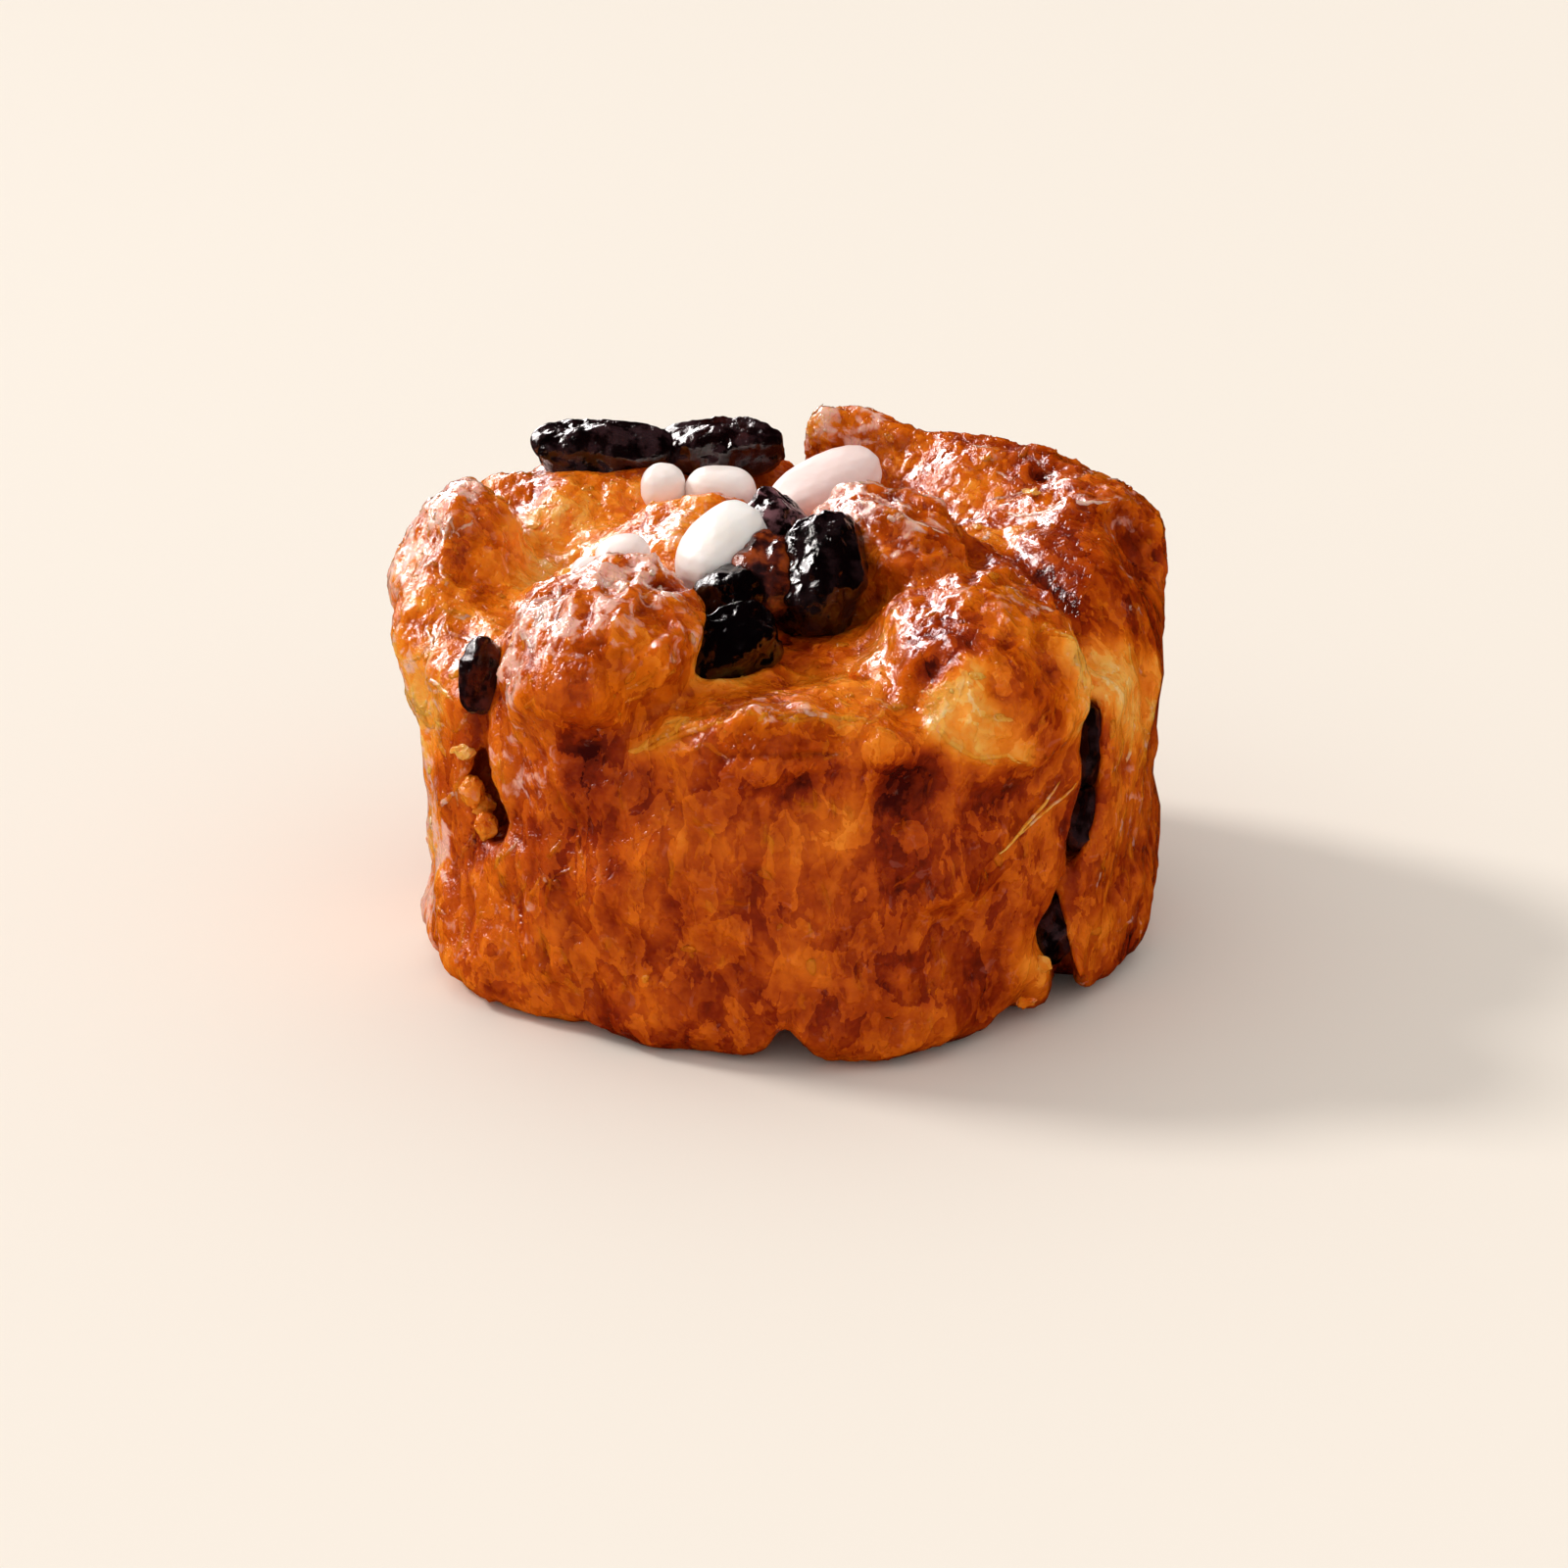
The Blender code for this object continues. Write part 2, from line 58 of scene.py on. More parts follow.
# Folds of the crust, lifted over it, and creases, sunk in it: points on the crust, lift and half width
FOLDS = [
    # Front left lobe, drawn up to its ridge
    ([(-32, -33, 53), (-30, -28, 55), (-28, -23, 56)], 1.3, 0.8),
    ([(-26, -40, 56), (-24, -31, 57), (-21, -23, 58)], 1.3, 0.8),
    ([(-20, -40, 56), (-18, -31, 58), (-15, -22, 58)], 1.5, 0.8),
    ([(-22, -24, 58), (-22, -33, 58), (-22, -38, 57)], 1.2, 0.7),
    ([(-28, -29, 56), (-28, -36, 55), (-29, -39, 53)], 1.2, 0.7),
    ([(-34, -31, 50), (-34, -32, 48), (-35, -31, 45)], 1.0, 0.7),
    ([(-16, -18, 57), (-17, -23, 57), (-17, -31, 58), (-18, -38, 57)], 1.2, 0.6),
    ([(-18, -41, 53), (-16, -40, 53), (-14, -38, 54), (-12, -37, 54)], 1.1, 0.7),
    ([(-23, -38, 57), (-21, -29, 58), (-18, -23, 58)], -0.6, 0.8),
    ([(-17, -34, 57), (-14, -32, 57), (-11, -27, 56)], 0.8, 1.0),
    ([(-35, -30, 46), (-33, -33, 52), (-30, -30, 55)], 0.7, 1.0),
    ([(-26, -42, 52), (-23, -42, 53), (-20, -40, 55)], 0.7, 0.8),
    ([(-18, -41, 51), (-16, -40, 52), (-14, -38, 54), (-12, -36, 55)], 0.8, 0.8),
    ([(-31, -38, 51), (-26, -42, 49), (-20, -43, 49)], 0.6, 1.2),
    # Lip between the front lobes, with drawn loops on its left
    ([(-19, -42, 41), (-15, -43, 44), (-9, -44, 46), (-3, -45, 48)], 0.9, 0.7),
    ([(-17, -43, 43), (-14, -43, 45), (-10, -43, 47)], 0.8, 0.5),
    ([(-20, -43, 43), (-15, -45, 42), (-9, -46, 43.5)], 0.7, 0.6),
    ([(-7, -45, 46.5), (0, -46, 47.2), (7, -45, 47.5), (13, -43, 46.5)], 0.8, 1.2),
    ([(-7, -48, 43.2), (0, -48, 43.4), (8, -47, 43)], -1.1, 0.7),
    ([(-23, -41, 40), (-18, -44, 39), (-11, -46, 40), (-5, -48, 43)], -0.6, 1.0),
    # Brow in the middle, a rolled edge with a second fold under it
    ([(8, -4, 60.5), (12, -9, 61), (16, -12, 59.5), (20, -13, 58), (23, -13, 56)], 1.6, 0.9),
    ([(10, -11, 56.5), (12, -14, 56), (14, -15.5, 55.5), (17, -16, 56), (20, -15, 56)], 0.9, 0.8),
    ([(11, -10.5, 59), (15, -13, 57.5), (19, -14.5, 57)], -0.9, 0.6),
    ([(6, 1, 60), (11, -3, 61), (17, -5, 61), (21, -9, 60)], 0.7, 1.0),
    # Front right lobe and its torn yellow side
    ([(24, -28, 57), (27, -22, 57), (30, -18, 55.5), (33, -24, 54.5), (35, -31, 52), (36, -36, 47)], 1.4, 0.8),
    ([(27, -32, 56), (28, -36, 54.5), (30, -38, 52)], 0.6, 0.8),
    ([(20, -31, 56), (24, -29.5, 57), (27, -30, 57)], 0.7, 0.8),
    ([(19, -34, 55), (21, -38, 54), (23, -41, 51)], 0.5, 0.8),
    ([(16, -40, 50), (18, -42, 46), (21, -44, 43.5), (25, -44, 41.5), (29, -42, 41), (32, -39, 38.5)], 0.9, 0.7),
    ([(17, -41, 44), (20, -44, 41.5), (25, -44, 39.5), (30, -41, 38.5)], -0.9, 0.7),
    ([(22, -43, 48), (24, -44, 45), (28, -43, 44)], 0.7, 0.6),
    # Right lobes: a long fold across them, and the skin drawn down beside the gap
    ([(28, 9, 54), (33, 4, 56), (38, 2, 57), (42, 3, 57), (45, 5, 57)], 1.5, 0.8),
    ([(28, 6, 54), (30, -6, 54), (33, -14, 53), (36, -20, 51)], -0.8, 1.0),
    ([(36, -26, 52), (41, -17, 48), (44.5, -18, 43), (47, -15, 36)], 0.8, 0.8),
    ([(37, -31, 50), (38, -33, 47), (39, -34, 44)], 0.7, 0.8),
    # Back peak and the glazed lobe beside it
    ([(5, 30, 60), (10, 29, 60.5), (14, 28, 59), (19, 26, 57)], 0.6, 0.9),
    ([(26, 22, 57), (30, 20, 58), (34, 20, 58), (39, 16, 57)], 0.7, 1.0),
    # Valley and left lobe, drawn downwards, and the fibres of the left wall
    ([(-37, 6, 55), (-36, 1, 52), (-35, -4, 48.5)], 0.7, 0.9),
    ([(-32, 16, 52), (-31, 9, 50), (-30, 0, 50)], 0.6, 0.9),
    ([(-44, 8, 57), (-46, 6, 54), (-48, 4, 50)], 0.6, 0.8),
    ([(-41, 6, 57), (-43, 2, 55), (-43, -3, 51)], 0.6, 0.8),
    ([(-46, -10, 47), (-46, -13, 38), (-45.5, -14, 28)], 0.8, 0.8),
    ([(-44, -15, 46), (-43.5, -18, 39), (-43, -19, 29)], 0.7, 0.7),
    ([(-38, -26, 19), (-37, -28, 12), (-36, -29, 5)], 0.6, 1.2),
    ([(-30, -35, 22), (-29, -37, 14), (-29, -37, 6)], -0.5, 1.0),
]

# Directions in which the dough was drawn out, and its wrinkles run: place, direction and reach
FLOWS = [
    ((-24, -28, 55), (0.5, 0.8, 0.35), 16),
    ((-44, 2, 50), (-0.2, 0.3, 0.9), 14),
    ((-28, 4, 52), (0.3, -0.8, 0.2), 14),
    ((14, -8, 58), (0.8, -0.5, 0.2), 12),
    ((24, -30, 52), (0.4, -0.8, 0.5), 14),
    ((36, 0, 52), (0.5, -0.8, 0.2), 16),
    ((16, 28, 56), (0.9, -0.2, 0.3), 12),
    ((0, -42, 46), (1.0, 0.1, 0.1), 10),
    ((0, -48, 24), (0.1, 0.0, 1.0), 26),
    ((-42, -20, 20), (-0.1, 0.1, 1.0), 24),
    ((42, -20, 20), (-0.2, 0.1, 1.0), 24),
    ((42, 20, 24), (0.0, 0.1, 1.0), 28),
    ((-42, 20, 24), (0.0, 0.1, 1.0), 28),
    ((0, 46, 24), (0.1, 0.0, 1.0), 28),
    ((-14, 32, 52), (1.0, 0.1, 0.1), 12),
]

# Places where the crust stayed smooth: place, reach, and how much of its roughness is gone there
CALM = [
    ((36, -6, 54), 9, 0.75), ((40, -13, 50), 7, 0.7), ((-26, -42, 46), 7, 0.5),
    ((-40, -14, 44), 6, 0.6), ((28, 12, 55), 6, 0.4), ((6, -22, 48), 8, 0.5),
    ((-28, 4, 50), 9, 0.4), ((-46, -8, 20), 12, 0.5), ((0, -48, 24), 26, 0.35),
]


def added(name, data):
    """A new object in the scene."""
    made = bpy.data.objects.new(name, data)
    bpy.context.scene.collection.objects.link(made)
    return made


def merged_copy(node, name):
    """A new object whose mesh is a CAD node's, with its loose triangles joined."""
    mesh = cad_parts[node].data.copy()
    mesh.name = name
    mesh.materials.clear()
    bm = bmesh.new()
    bm.from_mesh(mesh)
    bmesh.ops.remove_doubles(bm, verts=bm.verts, dist=0.001 * MM)
    bm.to_mesh(mesh)
    bm.free()
    return added(name, mesh)


def settle(obj):
    """Turns an object's modifiers into plain mesh."""
    graph = bpy.context.evaluated_depsgraph_get()
    mesh = bpy.data.meshes.new_from_object(obj.evaluated_get(graph))
    obj.modifiers.clear()
    old = obj.data
    obj.data = mesh
    bpy.data.meshes.remove(old)


def remeshed(obj, step_mm, rounds):
    """Gives an object an even mesh of this step, smoothed this many times."""
    finer = obj.modifiers.new("finer", "REMESH")
    finer.mode = "VOXEL"
    finer.voxel_size = step_mm * MM
    softer = obj.modifiers.new("softer", "SMOOTH")
    softer.factor = 0.5
    softer.iterations = rounds
    settle(obj)


def places_of(mesh):
    flat = np.empty(len(mesh.vertices) * 3, np.float32)
    mesh.vertices.foreach_get("co", flat)
    return flat.reshape(-1, 3).astype(float) / MM


def normals_of(mesh):
    flat = np.empty(len(mesh.vertices) * 3, np.float32)
    mesh.vertex_normals.foreach_get("vector", flat)
    return flat.reshape(-1, 3).astype(float)


def place_all(mesh, places):
    mesh.vertices.foreach_set("co", (places * MM).ravel())
    mesh.update()


def store(mesh, name, values):
    """Keeps a value for each point in the mesh, where its material can read it."""
    field = mesh.attributes.new(name, "FLOAT", "POINT")
    field.data.foreach_set("value", np.asarray(values, np.float32))


def route_distance(points, route):
    """Distance of every point to a polyline."""
    route = np.array(route, float)
    nearest = np.full(len(points), np.inf)
    for start, end in zip(route[:-1], route[1:]):
        along = end - start
        share = np.clip((points - start) @ along / (along @ along), 0.0, 1.0)
        nearest = np.minimum(nearest, np.linalg.norm(points - start - share[:, None] * along, axis=1))
    return nearest


def cloud(points, scale, shift=0.0):
    """Soft noise between about -1 and 1 at each point, with lumps this many millimetres apart."""
    moved = points / scale + np.array((shift, shift * 0.7, -shift * 0.4))
    return np.array([noise.noise(Vector(place)) for place in moved.tolist()])


def ridges(points, scale, shift=0.0):
    """Sharp crested noise between 0 and 1."""
    return 1.0 - np.abs(cloud(points, scale, shift)) * 2.0


def smoothstep(low, high, value):
    share = np.clip((value - low) / (high - low), 0.0, 1.0)
    return share * share * (3.0 - 2.0 * share)


def raised_folds(points, folds):
    """How far each point is lifted by the folds that pass it, with ragged crests."""
    lift = np.zeros(len(points))
    for route, height, width in folds:
        away = route_distance(points, route)
        near = away < 5.0 * width
        ragged = 0.75 + 0.5 * cloud(points[near], 2.4, width * 7.0)
        lift[near] += height * ragged * np.exp(-((away[near] / width) ** 1.4))
    return lift


def ledges(points, scale, step, shift):
    """Ragged sheets of pastry lying over each other: noise that climbs in flat steps with steep edges."""
    height = cloud(points, scale, shift) + 0.5 * cloud(points, scale / 2.3, shift + 3.0)
    height += 0.25 * cloud(points, scale / 5.0, shift + 6.0)
    whole = np.floor(height / step)
    return step * (whole + smoothstep(0.7, 1.0, height / step - whole))


def crumple(points, scale, shift):
    """Smooth bowls between sharp crests, as in wrapped film: 0 in a bowl, about 1 on a crest."""
    moved = points / scale + shift
    return np.array([noise.voronoi(Vector(place))[0][0] for place in moved.tolist()]) ** 1.5


def hollows(mesh, places, normals, rounds):
    """How many millimetres each point lies under its smoothed surroundings: positive in a crease."""
    ends = np.empty(len(mesh.edges) * 2, np.int32)
    mesh.edges.foreach_get("vertices", ends)
    first, second = ends.reshape(-1, 2).T
    count = np.bincount(ends, minlength=len(places))
    soft = places.copy()
    for _ in range(rounds):
        for axis in range(3):
            beside = np.bincount(first, soft[second, axis], len(places))
            beside += np.bincount(second, soft[first, axis], len(places))
            soft[:, axis] = 0.5 * (soft[:, axis] + beside / count)
    return ((soft - places) * normals).sum(axis=1)


dough = merged_copy("dough", "glazed_dough")
remeshed(dough, FINE_STEP_MM, SMOOTH_ROUNDS)
skin = places_of(dough.data)
out = normals_of(dough.data)

fruit_names = [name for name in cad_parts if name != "dough"]
fruit_points = []
fruit_faces = []
for name in fruit_names:
    fruit_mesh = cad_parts[name].data
    start = len(fruit_points)
    fruit_points += [v.co / MM for v in fruit_mesh.vertices]
    fruit_faces += [[start + corner for corner in face.vertices] for face in fruit_mesh.polygons]
fruit_tree = BVHTree.FromPolygons(fruit_points, fruit_faces)
to_fruit = np.array([
    fruit_tree.find_nearest(place, FRUIT_REACH_MM)[3] or FRUIT_REACH_MM for place in skin.tolist()
])

# Wrinkles and creases are noise drawn out along the dough's flow. Each flow has a pattern of its own
WRINKLE_MM, WRINKLE_LEVEL, WRINKLE_TURN = 3.0, 0.6, 3.1
CREASE_MM, CREASE_LEVEL, CREASE_TURN = 2.8, 0.25, 5.3
DRAWN_OUT = 0.80
weights = np.zeros(len(skin))
wrinkles = np.zeros(len(skin))
creases = np.zeros(len(skin))
for index, (middle, along, reach) in enumerate(FLOWS):
    share = np.exp(-((skin - np.array(middle)) ** 2).sum(axis=1) / reach**2)
    near = share > 0.01
    along = np.array(along) / np.linalg.norm(along)
    drawn = skin[near] - DRAWN_OUT * (skin[near] @ along)[:, None] * along
    wrinkles[near] += share[near] * ridges(drawn, WRINKLE_MM, index * WRINKLE_TURN)
    creases[near] += share[near] * crumple(drawn, CREASE_MM, index * CREASE_TURN)
    weights += share
wrinkles = wrinkles / (weights + 0.05) - WRINKLE_LEVEL
creases = creases / (weights + 0.05) - CREASE_LEVEL

# The crown is rougher than the wall. Near a fruit and at the foot the crust keeps the solid's own shape
SHEET_MM, SHEET_STEP, SHEET_SHIFT = 5.5, 0.26, 11.0
CROWN_LOW_MM, CROWN_HIGH_MM = 40.0, 49.0
POCKET_RIM_MM, POCKET_CLEAR_MM = 0.3, 2.2
HOLLOW_ROUNDS = 30
crown = smoothstep(CROWN_LOW_MM, CROWN_HIGH_MM, skin[:, 2])
sheets = ledges(skin * np.array((1.0, 1.0, 0.7)), SHEET_MM, SHEET_STEP, SHEET_SHIFT)
lift = 0.40 * cloud(skin, 7.0, 2.0) + 0.12 * cloud(skin, 3.2, 5.0)
lift += (0.20 + 0.20 * crown) * wrinkles + (0.12 + 0.20 * crown) * creases + (0.6 + 0.3 * crown) * sheets
for middle, reach, share in CALM:
    lift *= 1.0 - share * np.exp(-((skin - np.array(middle)) ** 2).sum(axis=1) / reach**2)
lift += raised_folds(skin, FOLDS)
lift *= smoothstep(POCKET_RIM_MM, POCKET_CLEAR_MM, to_fruit) * smoothstep(0.0, FOOT_CLEAR_MM, skin[:, 2])
skin = skin + out * lift[:, None]
skin[:, 2] = np.maximum(skin[:, 2], 0.02)
place_all(dough.data, skin)
crease = hollows(dough.data, skin, normals_of(dough.data), HOLLOW_ROUNDS)


# The dough's glazed crust. Tones say how far each place is baked, from 0, cream, to 1, nearly black red, with
# painted shade in creases and some painted shadow and light, and how much milky pink glaze and painted sheen lies on
# it. The shader mottles them and turns them into colour.

SHOWN_TRIANGLES = 192000
PLAIN_BAKE = 0.74
PALE_BAKE = 0.75
GLAZED_LOW_MM, GLAZED_HIGH_MM = 38.0, 48.0
# From and up to how much detail a place has, and how readily its mesh is simplified
SIMPLIFIED = [(0.0, 0.3, 1.0), (0.3, 0.8, 0.75), (0.8, 2.1, 0.45)]

# Each row: a place on the crust, its reach, its bake with any painted shade or light, and its milky glaze and
# painted sheen
Tone = namedtuple("Tone", "place reach bake blush")
TONES = [Tone(row[:3], *row[3:]) for row in (
    # Left lobes and the valley behind them. The pale, pink tones on the left lobe's top and down the left wall are
    # partly the crust's own and partly painted sheen and painted light from the left
    (-45, 7, 56, 6, 0.66, 0.9), (-40, -1, 52, 6, 0.70, 0.2), (-41, -9, 49, 5, 0.56, 0.0),
    (-50, 5, 46, 6, 0.45, 1.0), (-43, -15, 45, 5, 0.64, 0.0), (-46, -13, 38, 6, 0.30, 0.5),
    (-48, -6, 32, 8, 0.30, 1.0), (-46, -5, 7, 10, 0.48, 1.0), (-45, -12, 17, 6, 0.36, 1.0),
    (-40, -22, 4, 7, 0.62, 0.3),
    (-30, 11, 49, 8, 0.38, 0.0), (-28, -2, 50, 8, 0.40, 0.1), (-33, -14, 47, 6, 0.50, 0.0),
    (-35, 26, 53, 7, 0.60, 0.2), (-16, 14, 53, 6, 0.48, 0.2), (-12, 0, 52, 6, 0.50, 0.5),
    # Front left lobe
    (-19, -18, 58, 5, 0.66, 1.0), (-23, -33, 58, 6, 0.66, 1.0), (-28, -40, 54, 5, 0.66, 0.5),
    (-20, -42, 52, 5, 0.66, 0.25), (-27, -43, 48, 5, 0.74, 0.1), (-17, -39, 46, 5, 0.78, 0.0),
    (-12, -36, 55, 5, 0.70, 0.4), (-34, -34, 49, 4, 0.60, 0.8),
    # Lip between the front lobes
    (-8, -33, 48, 4, 0.48, 0.1), (1, -43, 48, 5, 0.62, 0.5), (7, -35, 47, 5, 0.54, 0.1),
    # The dark spot under the lip's front edge, at (1, -48, 43), is painted shadow under the lip
    (10, -42, 46, 5, 0.60, 0.1), (-14, -44, 45, 5, 0.50, 0.0), (1, -48, 43, 5, 0.84, 0.0),
    # Brow in the middle and the front right lobe
    (10, -2, 60, 5, 0.72, 0.9), (16, -4, 61, 5, 0.74, 0.6), (19, -10, 59, 4, 0.80, 0.5),
    (13, -14, 57, 4, 0.74, 0.5), (12, -15, 50, 5, 0.68, 0.0), (24, -10, 55, 4, 0.70, 0.1),
    (27, 0, 54, 4, 0.46, 0.0), (27, 15, 54, 4, 0.52, 0.2), (24, -27, 57, 5, 0.68, 0.35),
    (17, -35, 54, 5, 0.86, 0.0), (30, -31, 56, 4, 0.60, 0.4), (32, -40, 49, 5, 0.76, 0.0),
    (22, -42, 47, 4, 0.24, 0.0), (26, -43, 42, 4, 0.34, 0.0), (13, -32, 49, 5, 0.50, 0.0),
    # Back peak, right lobes
    (4, 31, 60, 3, 0.35, 0.6), (13, 29, 58, 5, 0.64, 0.6), (19, 30, 58, 5, 0.70, 0.1),
    (30, 22, 57, 6, 0.74, 0.4), (33, 16, 56, 4, 0.90, 0.0), (34, 9, 55, 4, 0.66, 0.2),
    (42, 6, 55, 5, 0.76, 0.4), (35, -7, 54, 8, 0.84, 0.0), (39, -13, 51, 8, 0.88, 0.0),
    (46, -8, 48, 6, 0.86, 0.1), (37, -33, 47, 4, 0.42, 0.2), (40, -24, 47, 4, 0.36, 0.15),
    (43, -20, 43, 5, 0.28, 0.1), (45, -17, 37, 5, 0.34, 0.1), (38, -34, 43, 3, 0.40, 0.2),
    (46, -17, 24, 7, 0.68, 0.3), (44, -20, 14, 7, 0.78, 0.0), (41, -25, 8, 6, 0.68, 0.0),
    (44, -19, 2, 6, 1.00, 0.0),
    # Front wall. Its near-black spots below the front right lobe, at (17, -42, 37), and under the lip, at (-6, -48,
    # 41), are painted shadow
    (-31, -34, 36, 6, 0.66, 0.5), (-23, -40, 34, 6, 1.0, 0.0), (-17, -43, 38, 6, 0.76, 0.0),
    (-9, -47, 39, 6, 0.76, 0.0), (-6, -48, 41, 2, 0.98, 0.0), (6, -47, 33, 4, 0.56, 0.0),
    (17, -42, 37, 4, 1.00, 0.0), (16, -46, 31, 5, 0.88, 0.0), (25, -41, 34, 6, 0.80, 0.0),
    (31, -38, 26, 5, 0.74, 0.2), (25, -43, 29, 6, 0.76, 0.0), (18, -46, 26, 3, 0.94, 0.0),
    (13, -46, 19, 7, 0.80, 0.0),
    (1, -48, 20, 7, 0.74, 0.0), (-9, -47, 26, 7, 0.74, 0.0), (-18, -44, 25, 7, 0.82, 0.0),
    (-28, -38, 25, 6, 0.76, 0.1), (-34, -33, 15, 6, 0.64, 0.4), (-23, -40, 15, 7, 0.73, 0.0),
    (-14, -44, 14, 7, 0.71, 0.0), (-4, -46, 13, 7, 0.76, 0.0), (8, -48, 12, 7, 0.80, 0.0),
    (18, -45, 12, 7, 0.77, 0.0), (25, -40, 10, 6, 0.78, 0.0), (33, -34, 9, 4, 0.48, 0.1),
    (-31, -33, 5, 6, 0.72, 0.0),
    # Sides, back and foot, which are guessed from what shows
    (47, 10, 30, 14, 0.78, 0.1), (36, 32, 40, 12, 0.72, 0.2), (40, 26, 14, 14, 0.80, 0.0),
    (12, 46, 38, 12, 0.70, 0.1), (10, 47, 14, 14, 0.78, 0.0), (-18, 44, 36, 12, 0.68, 0.2),
    (-20, 42, 12, 14, 0.76, 0.0), (-42, 24, 34, 12, 0.58, 0.4), (-42, 24, 12, 13, 0.68, 0.3),
    (0, 0, 0, 34, 0.86, 0.0),
)]


def tone_field(points, values, elsewhere):
    """A value at each point, blended from those of the tones round it."""
    total = np.full(len(points), 0.02)
    sums = total * elsewhere
    for tone, value in zip(TONES, values):
        share = np.exp(-((points - np.array(tone.place)) ** 2).sum(axis=1) / (0.8 * tone.reach) ** 2)
        total += share
        sums += share * value
    return sums / total


ragged_skin = skin + 1.8 * np.stack([cloud(skin, 4.0, shift) for shift in (1.0, 7.0, 13.0)], axis=1)
bake = tone_field(ragged_skin, [tone.bake for tone in TONES], PLAIN_BAKE)
# Deeper creases get a darker bake and ridges a slightly paler one: painted shade in the creases and a little painted
# light on the ridges
bake += 0.04 * cloud(skin, 5.0, 21.0) - 0.14 * sheets - 0.05 + np.clip(0.15 * crease, -0.05, 0.14)
blush = tone_field(ragged_skin, [tone.blush for tone in TONES], 0.0)
crest = smoothstep(-0.15, 0.35, wrinkles - 0.8 * crease)
store(dough.data, "bake", np.clip(bake, 0.0, 1.0))
# Milky glaze and painted sheen, weighted to the wrinkles' crests, where they paint highlights
store(dough.data, "blush", smoothstep(0.05, 0.9, blush) * (0.35 + 0.65 * crest))
store(dough.data, "glaze", 0.15 + 0.85 * smoothstep(GLAZED_LOW_MM, GLAZED_HIGH_MM, skin[:, 2]))
pale = tone_field(skin, [0.0 if tone.bake > PALE_BAKE else 1.0 for tone in TONES], 0.2)
store(dough.data, "flaky", pale * (0.3 + 0.7 * crest))
plain = dough.vertex_groups.new(name="plain")
detail = crown + 0.6 * smoothstep(10.0, -20.0, skin[:, 1])
for low, high, weight in SIMPLIFIED:
    plain.add(np.flatnonzero((detail >= low) & (detail < high)).tolist(), weight, "REPLACE")
fewer = dough.modifiers.new("fewer triangles", "DECIMATE")
fewer.vertex_group = plain.name
fewer.vertex_group_factor = 1.0
fewer.ratio = SHOWN_TRIANGLES / (2 * len(dough.data.polygons))
settle(dough)
for face in dough.data.polygons:
    face.use_smooth = True


def linear(red, green, blue):
    """A colour in linear light from its 0 to 255 screen values."""
    def one(value):
        share = value / 255
        return share / 12.92 if share <= 0.04045 else ((share + 0.055) / 1.055) ** 2.4
    return (one(red), one(green), one(blue), 1.0)


def feed(tree, socket, value):
    """Gives an input a link from another socket, or a plain value."""
    if isinstance(value, bpy.types.NodeSocket):
        tree.links.new(value, socket)
    else:
        socket.default_value = value


def wire(tree, made, **inputs):
    """Feeds a node's inputs, by name."""
    for key, value in inputs.items():
        feed(tree, made.inputs[key.replace("_", " ")], value)
    return made


def node(tree, kind, **inputs):
    return wire(tree, tree.nodes.new(kind), **inputs)


def material_with(name, **inputs):
    """A new material, its node tree, its shader with plain values set, and its Object coordinates."""
    made = bpy.data.materials.new(name)
    made.use_nodes = True
    shader = wire(made.node_tree, made.node_tree.nodes["Principled BSDF"], **inputs)
    place = made.node_tree.nodes.new("ShaderNodeTexCoord").outputs["Object"]
    return made, made.node_tree, shader, place


def noise_node(tree, where, scale, detail=3.0, roughness=0.55, distortion=0.0):
    """Noise over a place, this many lumps to the metre."""
    return node(tree, "ShaderNodeTexNoise", Vector=where, Scale=scale, Detail=detail, Roughness=roughness,
                Distortion=distortion).outputs["Fac"]


def remap(tree, value, low, high, to_low, to_high):
    """A value moved softly from one range to another."""
    made = node(tree, "ShaderNodeMapRange", Value=value, From_Min=low, From_Max=high, To_Min=to_low, To_Max=to_high)
    made.interpolation_type = "SMOOTHSTEP"
    return made.outputs["Result"]


def math_node(tree, operation, first, second):
    made = tree.nodes.new("ShaderNodeMath")
    made.operation = operation
    feed(tree, made.inputs[0], first)
    feed(tree, made.inputs[1], second)
    return made.outputs[0]


def times(tree, first, second):
    return math_node(tree, "MULTIPLY", first, second)


def summed(tree, first, *others):
    for other in others:
        first = math_node(tree, "ADD", first, other)
    return first


def vector_node(tree, operation, *values):
    made = tree.nodes.new("ShaderNodeVectorMath")
    made.operation = operation
    for socket, value in zip(made.inputs, values):
        feed(tree, socket, value)
    return made


def attribute(tree, name):
    made = tree.nodes.new("ShaderNodeAttribute")
    made.attribute_name = name
    return made.outputs["Fac"]


def ramp(tree, value, stops):
    """A colour picked by a value from stops of position and colour."""
    made = node(tree, "ShaderNodeValToRGB", Fac=value)
    elements = made.color_ramp.elements
    while len(elements) > 1:
        elements.remove(elements[-1])
    for index, (position, colour) in enumerate(stops):
        element = elements[0] if index == 0 else elements.new(position)
        element.position = position
        element.color = colour
    return made.outputs["Color"]


def mixed(tree, share, first, second):
    """A colour between two, by share. Each is a socket or a plain colour."""
    made = tree.nodes.new("ShaderNodeMix")
    made.data_type = "RGBA"
    factor = next(socket for socket in made.inputs if socket.name == "Factor" and socket.type == "VALUE")
    ends = [socket for socket in made.inputs if socket.type == "RGBA"]
    for socket, value in zip((factor, *ends), (share, first, second)):
        feed(tree, socket, value)
    return next(socket for socket in made.outputs if socket.type == "RGBA")


